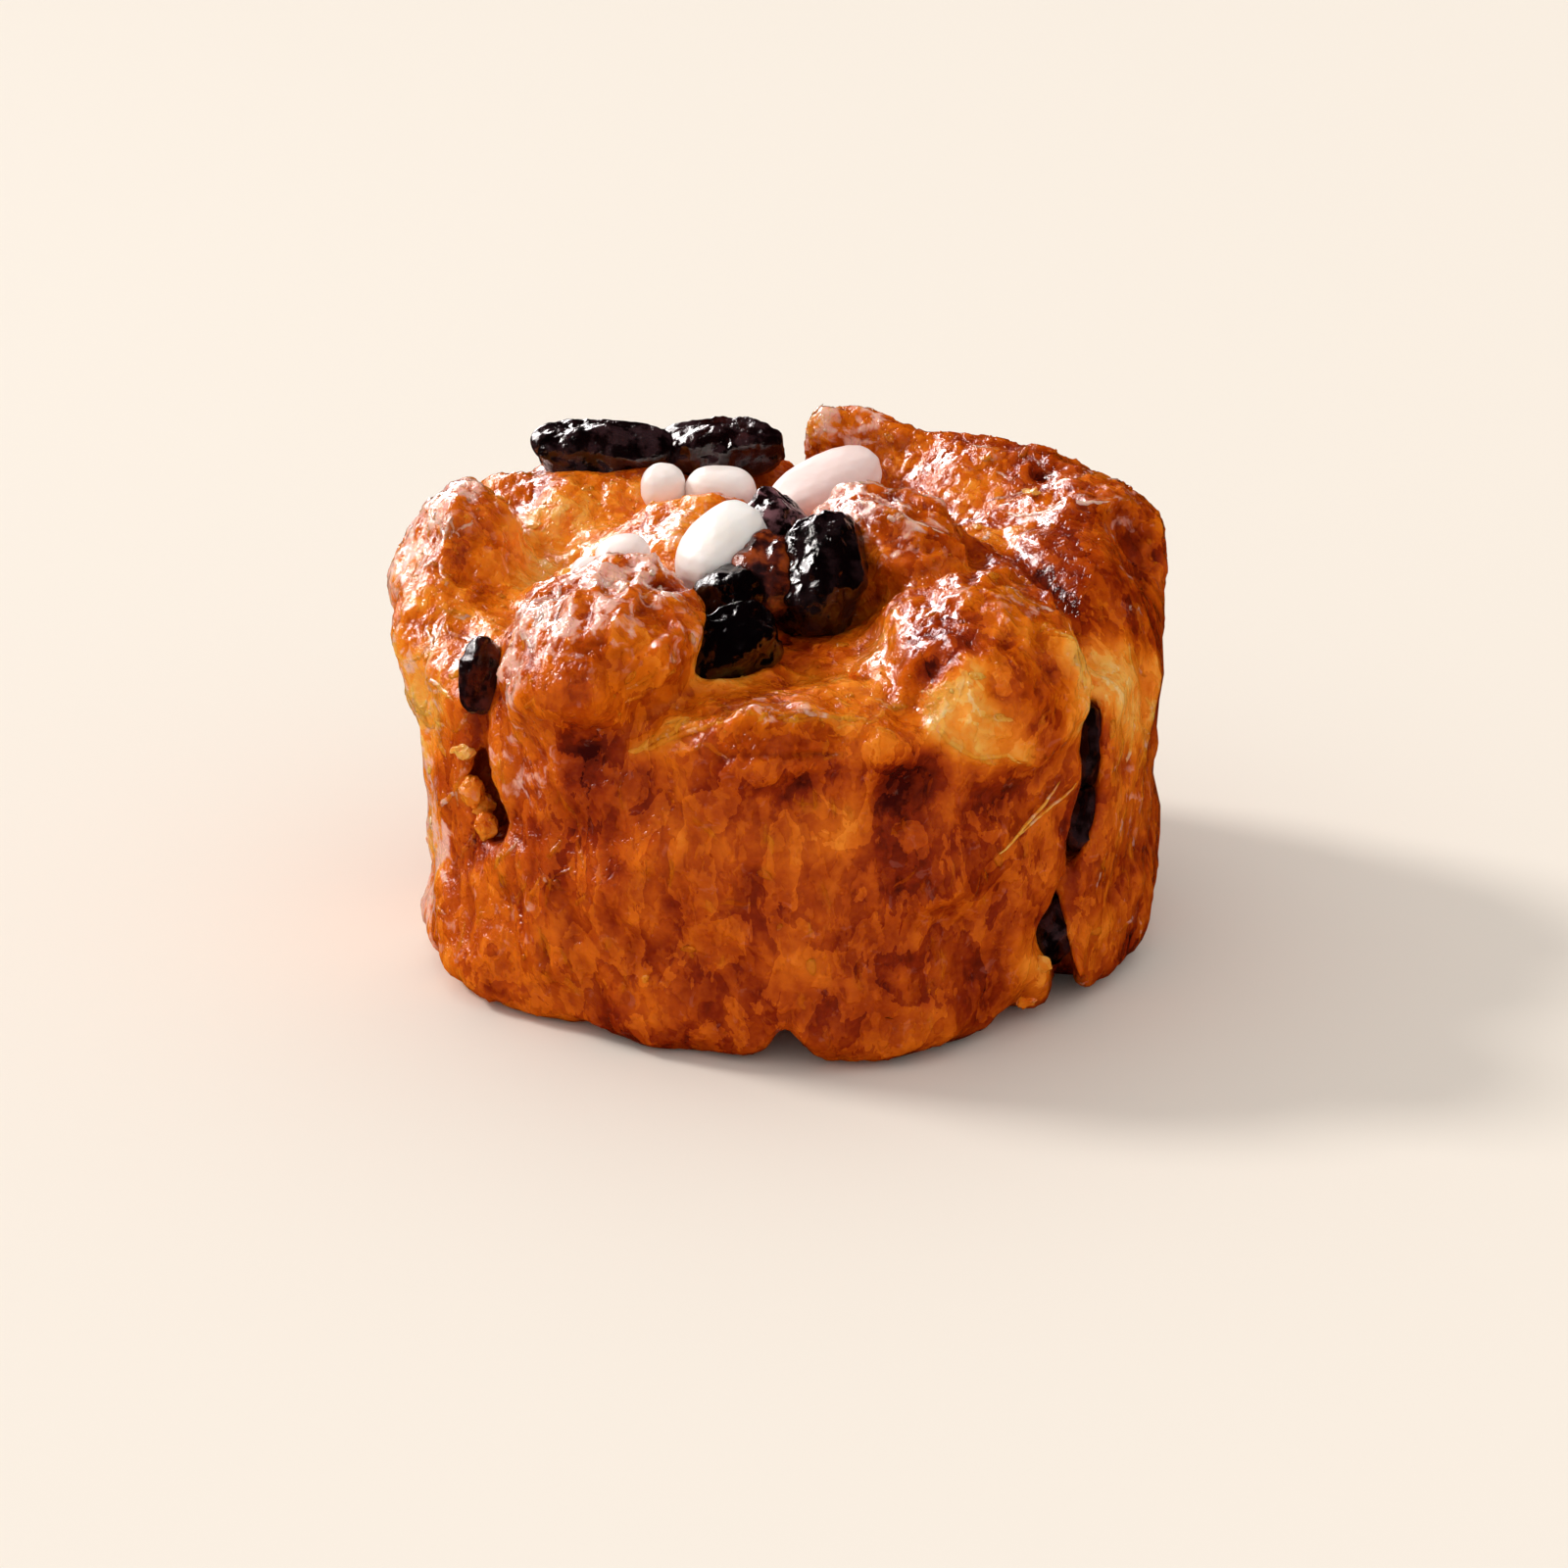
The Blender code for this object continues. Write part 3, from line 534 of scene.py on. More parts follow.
# Sugar glaze lies on crust and fruit alike: a thin coat with ripples, and small beads where it gathered
glaze_group = bpy.data.node_groups.new("sugar_glaze", "ShaderNodeTree")
for socket_name in ("Vector", "Bead Size", "Ripple Size", "Beads"):
    kind = "NodeSocketVector" if socket_name == "Vector" else "NodeSocketFloat"
    glaze_group.interface.new_socket(socket_name, in_out="INPUT", socket_type=kind)
for socket_name in ("Height", "Wetness"):
    glaze_group.interface.new_socket(socket_name, in_out="OUTPUT", socket_type="NodeSocketFloat")
tree = glaze_group
given = tree.nodes.new("NodeGroupInput")
result = tree.nodes.new("NodeGroupOutput")
place = given.outputs["Vector"]
dense = math_node(tree, "DIVIDE", 1.0, given.outputs["Bead Size"])
beads = node(tree, "ShaderNodeTexVoronoi", Vector=place, Scale=dense)
dome = remap(tree, beads.outputs["Distance"], 0.42, 0.08, 0.0, 1.0)
chance = node(tree, "ShaderNodeSeparateColor", Color=beads.outputs["Color"]).outputs["Red"]
bead = times(tree, dome, math_node(tree, "LESS_THAN", chance, given.outputs["Beads"]))
ripples = noise_node(tree, place, math_node(tree, "DIVIDE", 0.5, given.outputs["Ripple Size"]), 3.0, 0.6, 0.8)
pools = noise_node(tree, place, 180.0, 2.0, 0.5, 0.5)
wire(tree, result, Height=summed(tree, times(tree, bead, 0.35), ripples),
     Wetness=remap(tree, pools, 0.40, 0.58, 0.15, 1.0))


def placed_glaze(tree, place, bead_mm, ripple_mm, beads):
    """The glaze group in a material, with that material's own sizes."""
    made = tree.nodes.new("ShaderNodeGroup")
    made.node_tree = glaze_group
    wire(tree, made, Vector=place, Bead_Size=bead_mm * MM, Ripple_Size=ripple_mm * MM, Beads=beads)
    return made.outputs["Height"], made.outputs["Wetness"]


def bumped(tree, shader, height, strength, distance_mm):
    """Gives the shader a bumped normal."""
    bump = node(tree, "ShaderNodeBump", Height=height, Strength=strength, Distance=distance_mm * MM)
    wire(tree, shader, Normal=bump.outputs["Normal"])


def crumpled(tree, where, scale, warp):
    """Smooth bowls between sharp crests, like wrapped film, from 0 in a bowl to about 1 on a crest."""
    stray = node(tree, "ShaderNodeTexNoise", Vector=where, Scale=scale * 0.7, Detail=2.0, Roughness=0.5)
    shift = vector_node(tree, "MULTIPLY_ADD", stray.outputs["Color"], (warp / scale,) * 3, where)
    cells = node(tree, "ShaderNodeTexVoronoi", Vector=shift.outputs[0], Scale=scale)
    return math_node(tree, "POWER", cells.outputs["Distance"], 2.0)


CRUST_TONES = [
    (0.00, linear(255, 222, 165)),
    (0.18, linear(255, 184, 86)),
    (0.36, linear(252, 146, 38)),
    (0.54, linear(226, 110, 12)),
    (0.70, linear(188, 74, 5)),
    (0.84, linear(140, 38, 3)),
    (1.00, linear(66, 10, 5)),
]
PINK_GLAZE_AND_SHEEN = linear(252, 198, 180)

crust, tree, shader, place = material_with(
    "glazed_crust", Subsurface_Weight=0.35, Subsurface_Radius=(1.0, 0.3, 0.05), Subsurface_Scale=2.5 * MM,
    Coat_Roughness=0.06, Specular_IOR_Level=0.5,
)
stretch = node(tree, "ShaderNodeMapping", Vector=place, Scale=(1.0, 1.0, 0.6)).outputs["Vector"]
torn = noise_node(tree, stretch, 150.0, 5.0, 0.55, 0.4)
sheet = math_node(tree, "FRACT", times(tree, torn, 4.0), 0.0)
shred = noise_node(tree, stretch, 460.0, 3.0, 0.6, 0.3)
flake = remap(tree, shred, 0.47, 0.55, 0.0, 1.0)
speck = noise_node(tree, place, 1300.0, 2.0, 0.5)
depth = summed(
    tree, attribute(tree, "bake"), remap(tree, sheet, 0.0, 1.0, 0.05, -0.07),
    remap(tree, flake, 0.0, 1.0, 0.03, -0.04), remap(tree, speck, 0.3, 0.7, -0.02, 0.02),
)
# A milky pink mix over the crust: partly the glaze's own colour, partly painted sheen and highlights on the crests
milk_and_sheen_noise = noise_node(tree, place, 420.0, 3.0, 0.6, 0.6)
milk_and_sheen_share = summed(tree, attribute(tree, "blush"), remap(tree, milk_and_sheen_noise, 0.3, 0.7, -0.45, 0.25))
milk_and_sheen_share = remap(tree, milk_and_sheen_share, 0.18, 0.68, 0.0, 0.85)
height, wetness = placed_glaze(tree, place, 0.9, 0.5, 0.55)
wet = times(tree, attribute(tree, "glaze"), wetness)
wire(tree, shader, Base_Color=mixed(tree, milk_and_sheen_share, ramp(tree, depth, CRUST_TONES), PINK_GLAZE_AND_SHEEN),
     Roughness=remap(tree, wet, 0.0, 0.9, 0.20, 0.10), Coat_Weight=wet)
facets = summed(tree, crumpled(tree, stretch, 240.0, 0.9), times(tree, crumpled(tree, place, 700.0, 0.5), 0.38))
facets = times(tree, facets, remap(tree, attribute(tree, "glaze"), 0.15, 1.0, 0.7, 1.35))
height = summed(tree, times(tree, height, 0.6), facets, times(tree, flake, 0.35))
bumped(tree, shader, height, 1.0, 0.32)

dough.data.materials.clear()
dough.data.materials.append(crust)
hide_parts("dough")
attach(dough, "root")


# The raisins and the nut kernels. Soaked raisins are black to amber and glossy, their skins crumpled into crests,
# and the kernels are smooth, white and faintly pink. Each sits tight in its pocket, folded by a node tree.

FRUIT_STEP_MM = 0.22
FRUIT_ROUNDS = 10
POCKET_GAP_MM = 0.30
SEED_STEP = 1.7


def piece_tree(name, numbers):
    """A new geometry node tree with a geometry, some numbers and a finish as its inputs."""
    made = bpy.data.node_groups.new(name, "GeometryNodeTree")
    made.interface.new_socket("Geometry", in_out="INPUT", socket_type="NodeSocketGeometry")
    for number in numbers:
        made.interface.new_socket(number, in_out="INPUT", socket_type="NodeSocketFloat")
    made.interface.new_socket("Finish", in_out="INPUT", socket_type="NodeSocketMaterial")
    made.interface.new_socket("Geometry", in_out="OUTPUT", socket_type="NodeSocketGeometry")
    return made, made.nodes.new("NodeGroupInput"), made.nodes.new("NodeGroupOutput")


def scaled(tree, vector, share):
    made = vector_node(tree, "SCALE", vector)
    return wire(tree, made, Scale=share).outputs[0]


def crested_noise(tree, vector, size, seed, detail):
    """Sharp crests between smooth hollows: 1 on a crest, down to 0 in a hollow."""
    made = tree.nodes.new("ShaderNodeTexNoise")
    made.noise_dimensions = "4D"
    dense = math_node(tree, "DIVIDE", 1.0, size)
    wire(tree, made, Vector=vector, Scale=dense, W=seed, Detail=detail, Roughness=0.5)
    away = math_node(tree, "ABSOLUTE", math_node(tree, "SUBTRACT", made.outputs["Fac"], 0.5), 0.0)
    return math_node(tree, "MAXIMUM", math_node(tree, "SUBTRACT", 1.0, times(tree, away, 5.5)), 0.0)


def finish_tree(tree, geometry, given, result):
    """Ends a node tree: instances made real, and the finish put on."""
    real = node(tree, "GeometryNodeRealizeInstances", Geometry=geometry)
    dressed = node(tree, "GeometryNodeSetMaterial", Geometry=real.outputs[0], Material=given.outputs["Finish"])
    wire(tree, result, Geometry=dressed.outputs[0])


tree, given, result = piece_tree("folded_skin", ("Fold Size", "Fold Depth", "Crinkle Size", "Crinkle Depth", "Seed"))
tree.interface.new_socket("Along", in_out="INPUT", socket_type="NodeSocketVector")
spot = tree.nodes.new("GeometryNodeInputPosition").outputs[0]
outward = tree.nodes.new("GeometryNodeInputNormal").outputs[0]
length = vector_node(tree, "DOT_PRODUCT", spot, given.outputs["Along"]).outputs["Value"]
taken = scaled(tree, given.outputs["Along"], times(tree, length, 0.6))
squeezed = vector_node(tree, "SUBTRACT", spot, taken).outputs[0]
raised = []
for where, kind, detail in ((squeezed, "Fold", 0.8), (spot, "Crinkle", 1.5)):
    crests = crested_noise(tree, where, given.outputs[kind + " Size"], given.outputs["Seed"], detail)
    raised.append(times(tree, math_node(tree, "SUBTRACT", crests, 0.35), given.outputs[kind + " Depth"]))
moved = node(tree, "GeometryNodeSetPosition", Geometry=given.outputs["Geometry"],
             Offset=scaled(tree, outward, summed(tree, *raised)))
smooth = node(tree, "GeometryNodeSetShadeSmooth", Geometry=moved.outputs["Geometry"])
finish_tree(tree, smooth.outputs["Geometry"], given, result)
skin_tree = tree


def use_tree(obj, tree, values):
    """Puts a node tree on an object, with its named inputs set, and turns the result into plain mesh."""
    step = obj.modifiers.new(tree.name, "NODES")
    step.node_group = tree
    for item in tree.interface.items_tree:
        if item.item_type == "SOCKET" and item.in_out == "INPUT" and item.name in values:
            step[item.identifier] = values[item.name]
    settle(obj)


RAISIN_TONES = [
    (0.00, linear(4, 2, 3)),
    (0.30, linear(22, 6, 7)),
    (0.60, linear(84, 28, 14)),
    (1.00, linear(170, 74, 22)),
]
RAISIN_BLOOM = linear(140, 96, 104)

raisin_skin, tree, shader, place = material_with(
    "raisin_skin", Coat_Roughness=0.04, Specular_IOR_Level=0.5,
    Subsurface_Weight=0.02, Subsurface_Radius=(1.0, 0.25, 0.1), Subsurface_Scale=1.5 * MM,
)
patch = noise_node(tree, place, 260.0, 3.0, 0.6)
thin = times(tree, remap(tree, patch, 0.35, 0.65, 0.3, 1.0), attribute(tree, "ripeness"))
dust = noise_node(tree, place, 330.0, 4.0, 0.6)
bloom = times(tree, remap(tree, dust, 0.45, 0.60, 0.0, 1.0), attribute(tree, "bloom"))
height, wetness = placed_glaze(tree, place, 0.7, 0.35, 0.40)
wire(tree, shader, Base_Color=mixed(tree, bloom, ramp(tree, thin, RAISIN_TONES), RAISIN_BLOOM),
     Roughness=remap(tree, wetness, 0.0, 1.0, 0.20, 0.09), Coat_Weight=times(tree, wetness, 0.9))
bumped(tree, shader, height, 0.6, 0.20)

KERNEL_TONES = [(0.35, linear(255, 246, 240)), (0.65, linear(255, 253, 250))]
KERNEL_PINK = linear(255, 228, 224)

kernel, tree, shader, place = material_with(
    "nut_kernel", Subsurface_Weight=0.3, Subsurface_Radius=(1.0, 0.75, 0.6), Subsurface_Scale=2.0 * MM,
    Specular_IOR_Level=0.4, Coat_Roughness=0.15,
)
patch = noise_node(tree, place, 160.0, 2.0, 0.5)
height, wetness = placed_glaze(tree, place, 1.2, 0.8, 0.15)
wire(tree, shader, Base_Color=mixed(tree, attribute(tree, "bloom"), ramp(tree, patch, KERNEL_TONES), KERNEL_PINK),
     Roughness=remap(tree, wetness, 0.0, 1.0, 0.5, 0.32))
bumped(tree, shader, height, 0.25, 0.2)

# How thin and brown each fruit's skin is, and how much pale bloom, or pink for a kernel, lies on it
Fruit = namedtuple("Fruit", "ripeness bloom")
PLAIN_RAISIN = Fruit(0.25, 0.10)
PLAIN_KERNEL = Fruit(0.0, 0.15)
FRUITS = {
    "raisin_tall": Fruit(0.08, 0.04),
    "raisin_front": Fruit(0.04, 0.0),
    "raisin_middle": Fruit(0.90, 0.05),
    "raisin_small": Fruit(0.30, 0.85),
    "raisin_under": Fruit(0.04, 0.0),
    "raisin_back_long": Fruit(0.15, 0.10),
    "raisin_back_short": Fruit(0.35, 0.10),
    "raisin_left_gap": Fruit(0.60, 0.05),
    "raisin_right_gap_low": Fruit(0.15, 0.15),
    "nut_long": Fruit(0.0, 1.0),
    "nut_back_wide": Fruit(0.0, 0.35),
    "nut_back_round": Fruit(0.0, 0.35),
    "nut_big": Fruit(0.0, 0.0),
    "nut_left": Fruit(0.0, 0.6),
    "nut_left_small": Fruit(0.0, 0.6),
}

RAISIN_FOLDS = {
    "Fold Size": 5.5 * MM, "Fold Depth": 1.1 * MM, "Crinkle Size": 2.4 * MM, "Crinkle Depth": 0.30 * MM,
    "Finish": raisin_skin,
}
KERNEL_FOLDS = {
    "Fold Size": 9.0 * MM, "Fold Depth": 0.15 * MM, "Crinkle Size": 4.0 * MM, "Crinkle Depth": 0.04 * MM,
    "Finish": kernel,
}

for index, name in enumerate(fruit_names):
    is_raisin = name.startswith("raisin")
    looks = FRUITS.get(name, PLAIN_RAISIN if is_raisin else PLAIN_KERNEL)
    fruit = merged_copy(name, name + "_skin")
    places = places_of(fruit.data)
    spread = places - places.mean(axis=0)
    along = np.linalg.eigh(spread.T @ spread)[1][:, -1]
    place_all(fruit.data, places + POCKET_GAP_MM * normals_of(fruit.data))
    remeshed(fruit, FRUIT_STEP_MM, FRUIT_ROUNDS)
    for key in ("ripeness", "bloom"):
        store(fruit.data, key, np.full(len(fruit.data.vertices), getattr(looks, key)))
    folds = dict(RAISIN_FOLDS if is_raisin else KERNEL_FOLDS, Seed=index * SEED_STEP, Along=tuple(along))
    use_tree(fruit, skin_tree, folds)
    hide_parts(name)
    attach(fruit, "root")


# Pulled strands: fibres down the wall, streaks and rolled loops of crust along the folds, and two loose threads.
# Each is traced over the finished crust, and one node tree makes tapering tubes of them, half sunk in the dough.

STRAND_STEP_MM = 0.6
STRAND_SWAY = 0.22
STRAND_SUNK, DRAWN_SUNK, THREAD_SUNK = 0.72, 0.65, 0.3
THREAD_ARCH_MM = 0.5
STRAND_GLAZE = 0.8
PALEST_STRAND = 0.3

# A group of strands: where they start, how far apart, the way they run, how many, their length and width, how
# much lighter than the crust they are, and their milky glaze and painted sheen
Strands = namedtuple("Strands", "place spread along count length width lighter blush")
STRANDS = [
    # Their pink tint paints highlight streaks, most on the groups over the crown and down the left wall
    Strands((-24, -26, 57), (6, 3, 2), (-0.1, -1.0, -0.1), 20, 9, 0.55, 0.02, 0.55),
    Strands((-31, -31, 52), (3, 4, 3), (-0.3, -0.6, -0.7), 10, 7, 0.50, 0.03, 0.5),
    Strands((12, -4, 60), (6, 5, 2), (0.8, -0.6, 0.0), 16, 8, 0.50, 0.02, 0.5),
    Strands((28, -26, 56), (6, 5, 2), (0.7, -0.7, -0.2), 12, 8, 0.50, 0.03, 0.25),
    Strands((34, 14, 57), (8, 8, 2), (0.9, -0.3, 0.0), 14, 8, 0.50, 0.02, 0.45),
    Strands((-44, 4, 54), (4, 8, 4), (-0.3, -0.6, -0.5), 16, 8, 0.50, 0.02, 0.4),
    Strands((-46, -10, 38), (3, 8, 10), (0.0, 0.0, -1.0), 26, 14, 0.60, 0.03, 0.35),
    Strands((-35, -30, 24), (6, 5, 12), (0.0, 0.0, -1.0), 26, 9, 0.55, 0.05, 0.15),
    Strands((0, -46, 24), (26, 4, 14), (0.1, 0.0, -1.0), 60, 6, 0.50, 0.04, 0.0),
    Strands((42, -20, 30), (4, 6, 14), (0.0, 0.0, -1.0), 30, 10, 0.50, 0.05, 0.2),
    Strands((0, -42, 47), (16, 4, 2), (1.0, 0.1, 0.0), 34, 7, 0.50, 0.06, 0.1),
    Strands((0, 44, 30), (34, 8, 20), (0.0, 0.0, -1.0), 50, 8, 0.50, 0.04, 0.15),
]
# Strands given one by one: their route, width, how far they arch off the crust, their bake, and their milky glaze
# and painted sheen
Drawn = namedtuple("Drawn", "route width arch bake blush")
DRAWN = [
    Drawn([(-19, -42, 40), (-17, -43, 43), (-13, -43, 45), (-9, -43, 46.5)], 0.60, 0.1, 0.44, 0.1),
    Drawn([(-18, -43, 41.5), (-14, -44, 43.5), (-10, -44, 45), (-5, -45, 46.5)], 0.50, 0.1, 0.46, 0.1),
    Drawn([(-17, -43, 43.5), (-15, -42, 45.5), (-11, -42, 46.5), (-12, -43, 44.5), (-16, -43, 42.5)],
          0.45, 0.2, 0.42, 0.1),
    Drawn([(-7, -44, 47), (-2, -45, 47.6), (4, -45, 47.8), (10, -44, 47)], 0.50, 0.1, 0.52, 0.4),
    Drawn([(18, -40, 49), (19, -42, 45), (21, -43, 43), (24, -43, 41), (28, -42, 41), (31, -39, 38)],
          0.50, 0.1, 0.30, 0.1),
    Drawn([(27, -41, 27), (31, -36, 31), (35, -34, 34)], 0.22, 1.2, 0.28, 0.3),
    Drawn([(29, -39, 28), (33, -35, 31), (37, -32, 33)], 0.20, 0.9, 0.30, 0.3),
    Drawn([(36, -31, 51), (37, -33, 48), (38, -34, 44)], 0.45, 0.1, 0.34, 0.2),
    # These two, fully pink along the brow's rolled edge and the right lobes' long fold, are painted highlight lines
    Drawn([(8, -4, 60.5), (12, -9, 61), (16, -12, 59.5), (20, -13, 58), (23, -13, 56)], 0.50, 0.1, 0.55, 1.0),
    Drawn([(28, 9, 54), (33, 4, 56), (38, 2, 57), (42, 3, 57), (45, 5, 57)], 0.45, 0.1, 0.55, 1.0),
]
RANDOM_START = 5


def values_of(mesh, name):
    """A stored value at each point of the mesh."""
    flat = np.empty(len(mesh.vertices), np.float32)
    mesh.attributes[name].data.foreach_get("value", flat)
    return flat


crust_tree = BVHTree.FromPolygons(
    [v.co / MM for v in dough.data.vertices], [face.vertices for face in dough.data.polygons]
)
skin_shown = places_of(dough.data)
bake_and_shading_shown = values_of(dough.data, "bake")
strand_random = np.random.default_rng(RANDOM_START)


def on_crust(place):
    """The nearest point of the crust, and the way it faces."""
    found = crust_tree.find_nearest(Vector(place))
    return np.array(found[0]), np.array(found[1])


def traced(start, along, length, sway):
    """Points over the crust from a start, a step apart, drawn this way with a little sway."""
    spot, facing = on_crust(start)
    points = [spot]
    heading = np.array(along, float)
    for _ in range(int(length / STRAND_STEP_MM)):
        heading = heading + sway * strand_random.normal(size=3)
        heading /= np.linalg.norm(heading)
        flat = heading - facing * (heading @ facing)
        spot, facing = on_crust(spot + flat / (np.linalg.norm(flat) + 0.01) * STRAND_STEP_MM)
        points.append(spot)
    return np.array(points)


def spaced(route):
    """A given route with a point at every step."""
    route = np.array(route, float)
    far = np.concatenate([[0.0], np.cumsum(np.linalg.norm(np.diff(route, axis=0), axis=1))])
    at = np.linspace(0.0, far[-1], int(far[-1] / STRAND_STEP_MM) + 2)
    return np.stack([np.interp(at, far, route[:, axis]) for axis in range(3)], axis=1)


def laid(points, width, arch, sunk):
    """Points moved onto the crust, sunk by a share of the width, and arched off it towards the middle."""
    share = np.linspace(0.0, 1.0, len(points))
    rise = arch * np.sin(np.pi * share) - sunk * width
    hits = [on_crust(place) for place in points]
    return np.array([spot + facing * up for (spot, facing), up in zip(hits, rise)])


strand_points, strand_edges = [], []
strand_values = {"width": [], "bake": [], "blush": [], "glaze": []}


def add_strand(points, width, bake, blush):
    """Puts a strand's points, edges and values with the others."""
    points[:, 2] = np.maximum(points[:, 2], 1.2 * width)
    start = len(strand_points)
    strand_points.extend((points * MM).tolist())
    strand_edges.extend((start + step, start + step + 1) for step in range(len(points) - 1))
    for key, value in (("width", width * MM), ("bake", bake), ("blush", blush), ("glaze", STRAND_GLAZE)):
        strand_values[key] += [value] * len(points)


for group in STRANDS:
    for _ in range(group.count):
        start = np.array(group.place) + np.array(group.spread) * strand_random.normal(size=3)
        width = group.width * strand_random.uniform(0.6, 1.3)
        points = traced(start, group.along, group.length * strand_random.uniform(0.5, 1.3), STRAND_SWAY)
        near = np.argmin(((skin_shown - points[len(points) // 2]) ** 2).sum(axis=1))
        toned = max(bake_and_shading_shown[near] - group.lighter, PALEST_STRAND)
        add_strand(laid(points, width, 0.0, STRAND_SUNK), width, toned, group.blush)
for drawn in DRAWN:
    sunk = THREAD_SUNK if drawn.arch > THREAD_ARCH_MM else DRAWN_SUNK
    add_strand(laid(spaced(drawn.route), drawn.width, drawn.arch, sunk), drawn.width, drawn.bake, drawn.blush)

strand_mesh = bpy.data.meshes.new("pulled_strands")
strand_mesh.from_pydata(strand_points, strand_edges, [])
for key, values in strand_values.items():
    store(strand_mesh, key, values)
strands = added("pulled_strands", strand_mesh)


def stored(tree, name):
    """The values kept under a name."""
    return node(tree, "GeometryNodeInputNamedAttribute", Name=name).outputs["Attribute"]


tree, given, result = piece_tree("tapered_strands", ())
line = node(tree, "GeometryNodeMeshToCurve", Mesh=given.outputs["Geometry"])
share = tree.nodes.new("GeometryNodeSplineParameter").outputs["Factor"]
taper = times(tree, times(tree, share, math_node(tree, "SUBTRACT", 1.0, share)), 4.0)
taper = math_node(tree, "POWER", taper, 0.5)
ring = node(tree, "GeometryNodeCurvePrimitiveCircle", Resolution=6, Radius=1.0)
tube = node(tree, "GeometryNodeCurveToMesh", Curve=line.outputs[0], Profile_Curve=ring.outputs[0],
            Scale=times(tree, stored(tree, "width"), taper), Fill_Caps=True)
smooth = node(tree, "GeometryNodeSetShadeSmooth", Geometry=tube.outputs[0])
finish_tree(tree, smooth.outputs[0], given, result)
use_tree(strands, tree, {"Finish": crust})
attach(strands, "root")


# Beads of glaze over the crown, flakes that stand off the crust, and a few torn crumbs in the gap on the left, on
# the crown and at the foot. One node tree scatters beads and flakes by a stored value, and another puts a crumb at
# each given point.

SPHERE_SIDES, SPHERE_RINGS = 8, 5
TILT = 0.25
HALF_TURN = 3.1
BEADS_LOW_MM, BEADS_HIGH_MM = 42.0, 50.0
BITS_LOW_MM, BITS_HIGH_MM = 3.0, 6.0
BEADS = {"Density": 9.0e4, "Size": 0.26 * MM, "Length": 1.2, "Flatness": 0.7, "Lighter": 0.05}
FLAKES = {"Density": 4.5e4, "Size": 0.55 * MM, "Length": 1.9, "Flatness": 0.28, "Lighter": 0.08}
CRUMB_MILK_AND_SHEEN, CRUMB_GLAZE = 0.1, 0.4
CRUMB_LUMP_MM, CRUMB_RAGGEDNESS_MM = 1.1, 1.6


def random_between(tree, kind, low, high, seed):
    """A random number or vector for each point. Kind is VALUE or VECTOR."""
    made = tree.nodes.new("FunctionNodeRandomValue")
    made.data_type = "FLOAT" if kind == "VALUE" else "FLOAT_VECTOR"
    ends = [socket for socket in made.inputs if socket.type == kind and socket.name in ("Min", "Max")]
    ends[0].default_value = low
    ends[1].default_value = high
    made.inputs["Seed"].default_value = seed
    return next(socket for socket in made.outputs if socket.type == kind)


def roughened(tree, geometry, size, depth):
    """Geometry pushed about by noise with lumps this large."""
    where = tree.nodes.new("GeometryNodeInputPosition").outputs[0]
    lumps = node(tree, "ShaderNodeTexNoise", Vector=where, Scale=1.0 / size, Detail=1.0).outputs["Color"]
    centred = vector_node(tree, "SUBTRACT", lumps, (0.5, 0.5, 0.5))
    moved = node(tree, "GeometryNodeSetPosition", Geometry=geometry, Offset=scaled(tree, centred.outputs[0], depth))
    return node(tree, "GeometryNodeSetShadeSmooth", Geometry=moved.outputs[0]).outputs[0]


tree, given, result = piece_tree("scattered", ("Density", "Size", "Length", "Flatness", "Lighter"))
spots = node(tree, "GeometryNodeDistributePointsOnFaces", Mesh=given.outputs["Geometry"], Seed=3,
             Density=times(tree, stored(tree, "scatter"), given.outputs["Density"]))
ball = node(tree, "GeometryNodeMeshUVSphere", Segments=SPHERE_SIDES, Rings=SPHERE_RINGS, Radius=1.0)
lump = roughened(tree, ball.outputs["Mesh"], 1.4, 0.9)
size = times(tree, given.outputs["Size"], random_between(tree, "VALUE", 0.45, 1.3, 1))
extent = node(tree, "ShaderNodeCombineXYZ", X=times(tree, size, given.outputs["Length"]), Y=size,
              Z=times(tree, size, given.outputs["Flatness"])).outputs[0]
tip = random_between(tree, "VECTOR", (-TILT, -TILT, -HALF_TURN), (TILT, TILT, HALF_TURN), 2)
turn = node(tree, "FunctionNodeRotateRotation", Rotation=spots.outputs["Rotation"], Rotate_By=tip)
turn.rotation_space = "LOCAL"
placed = node(tree, "GeometryNodeInstanceOnPoints", Points=spots.outputs["Points"], Instance=lump,
              Rotation=turn.outputs[0], Scale=extent)
real = node(tree, "GeometryNodeRealizeInstances", Geometry=placed.outputs[0])
kept = node(tree, "GeometryNodeStoreNamedAttribute", Geometry=real.outputs[0], Name="bake",
            Value=math_node(tree, "SUBTRACT", stored(tree, "bake"), given.outputs["Lighter"]))
finish_tree(tree, kept.outputs[0], given, result)

height_mm = skin_shown[:, 2]
clumped = smoothstep(-0.1, 0.3, cloud(skin_shown, 5.0, 41.0))
beads_share = smoothstep(BEADS_LOW_MM, BEADS_HIGH_MM, height_mm) * (0.3 + 0.7 * clumped)
flakes_share = values_of(dough.data, "flaky") * clumped
for name, scatter, values in (("glaze_beads", beads_share, BEADS), ("crust_flakes", flakes_share, FLAKES)):
    bits = added(name, dough.data.copy())
    store(bits.data, "scatter", scatter * smoothstep(BITS_LOW_MM, BITS_HIGH_MM, height_mm))
    use_tree(bits, tree, dict(values, Finish=crust))
    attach(bits, "root")

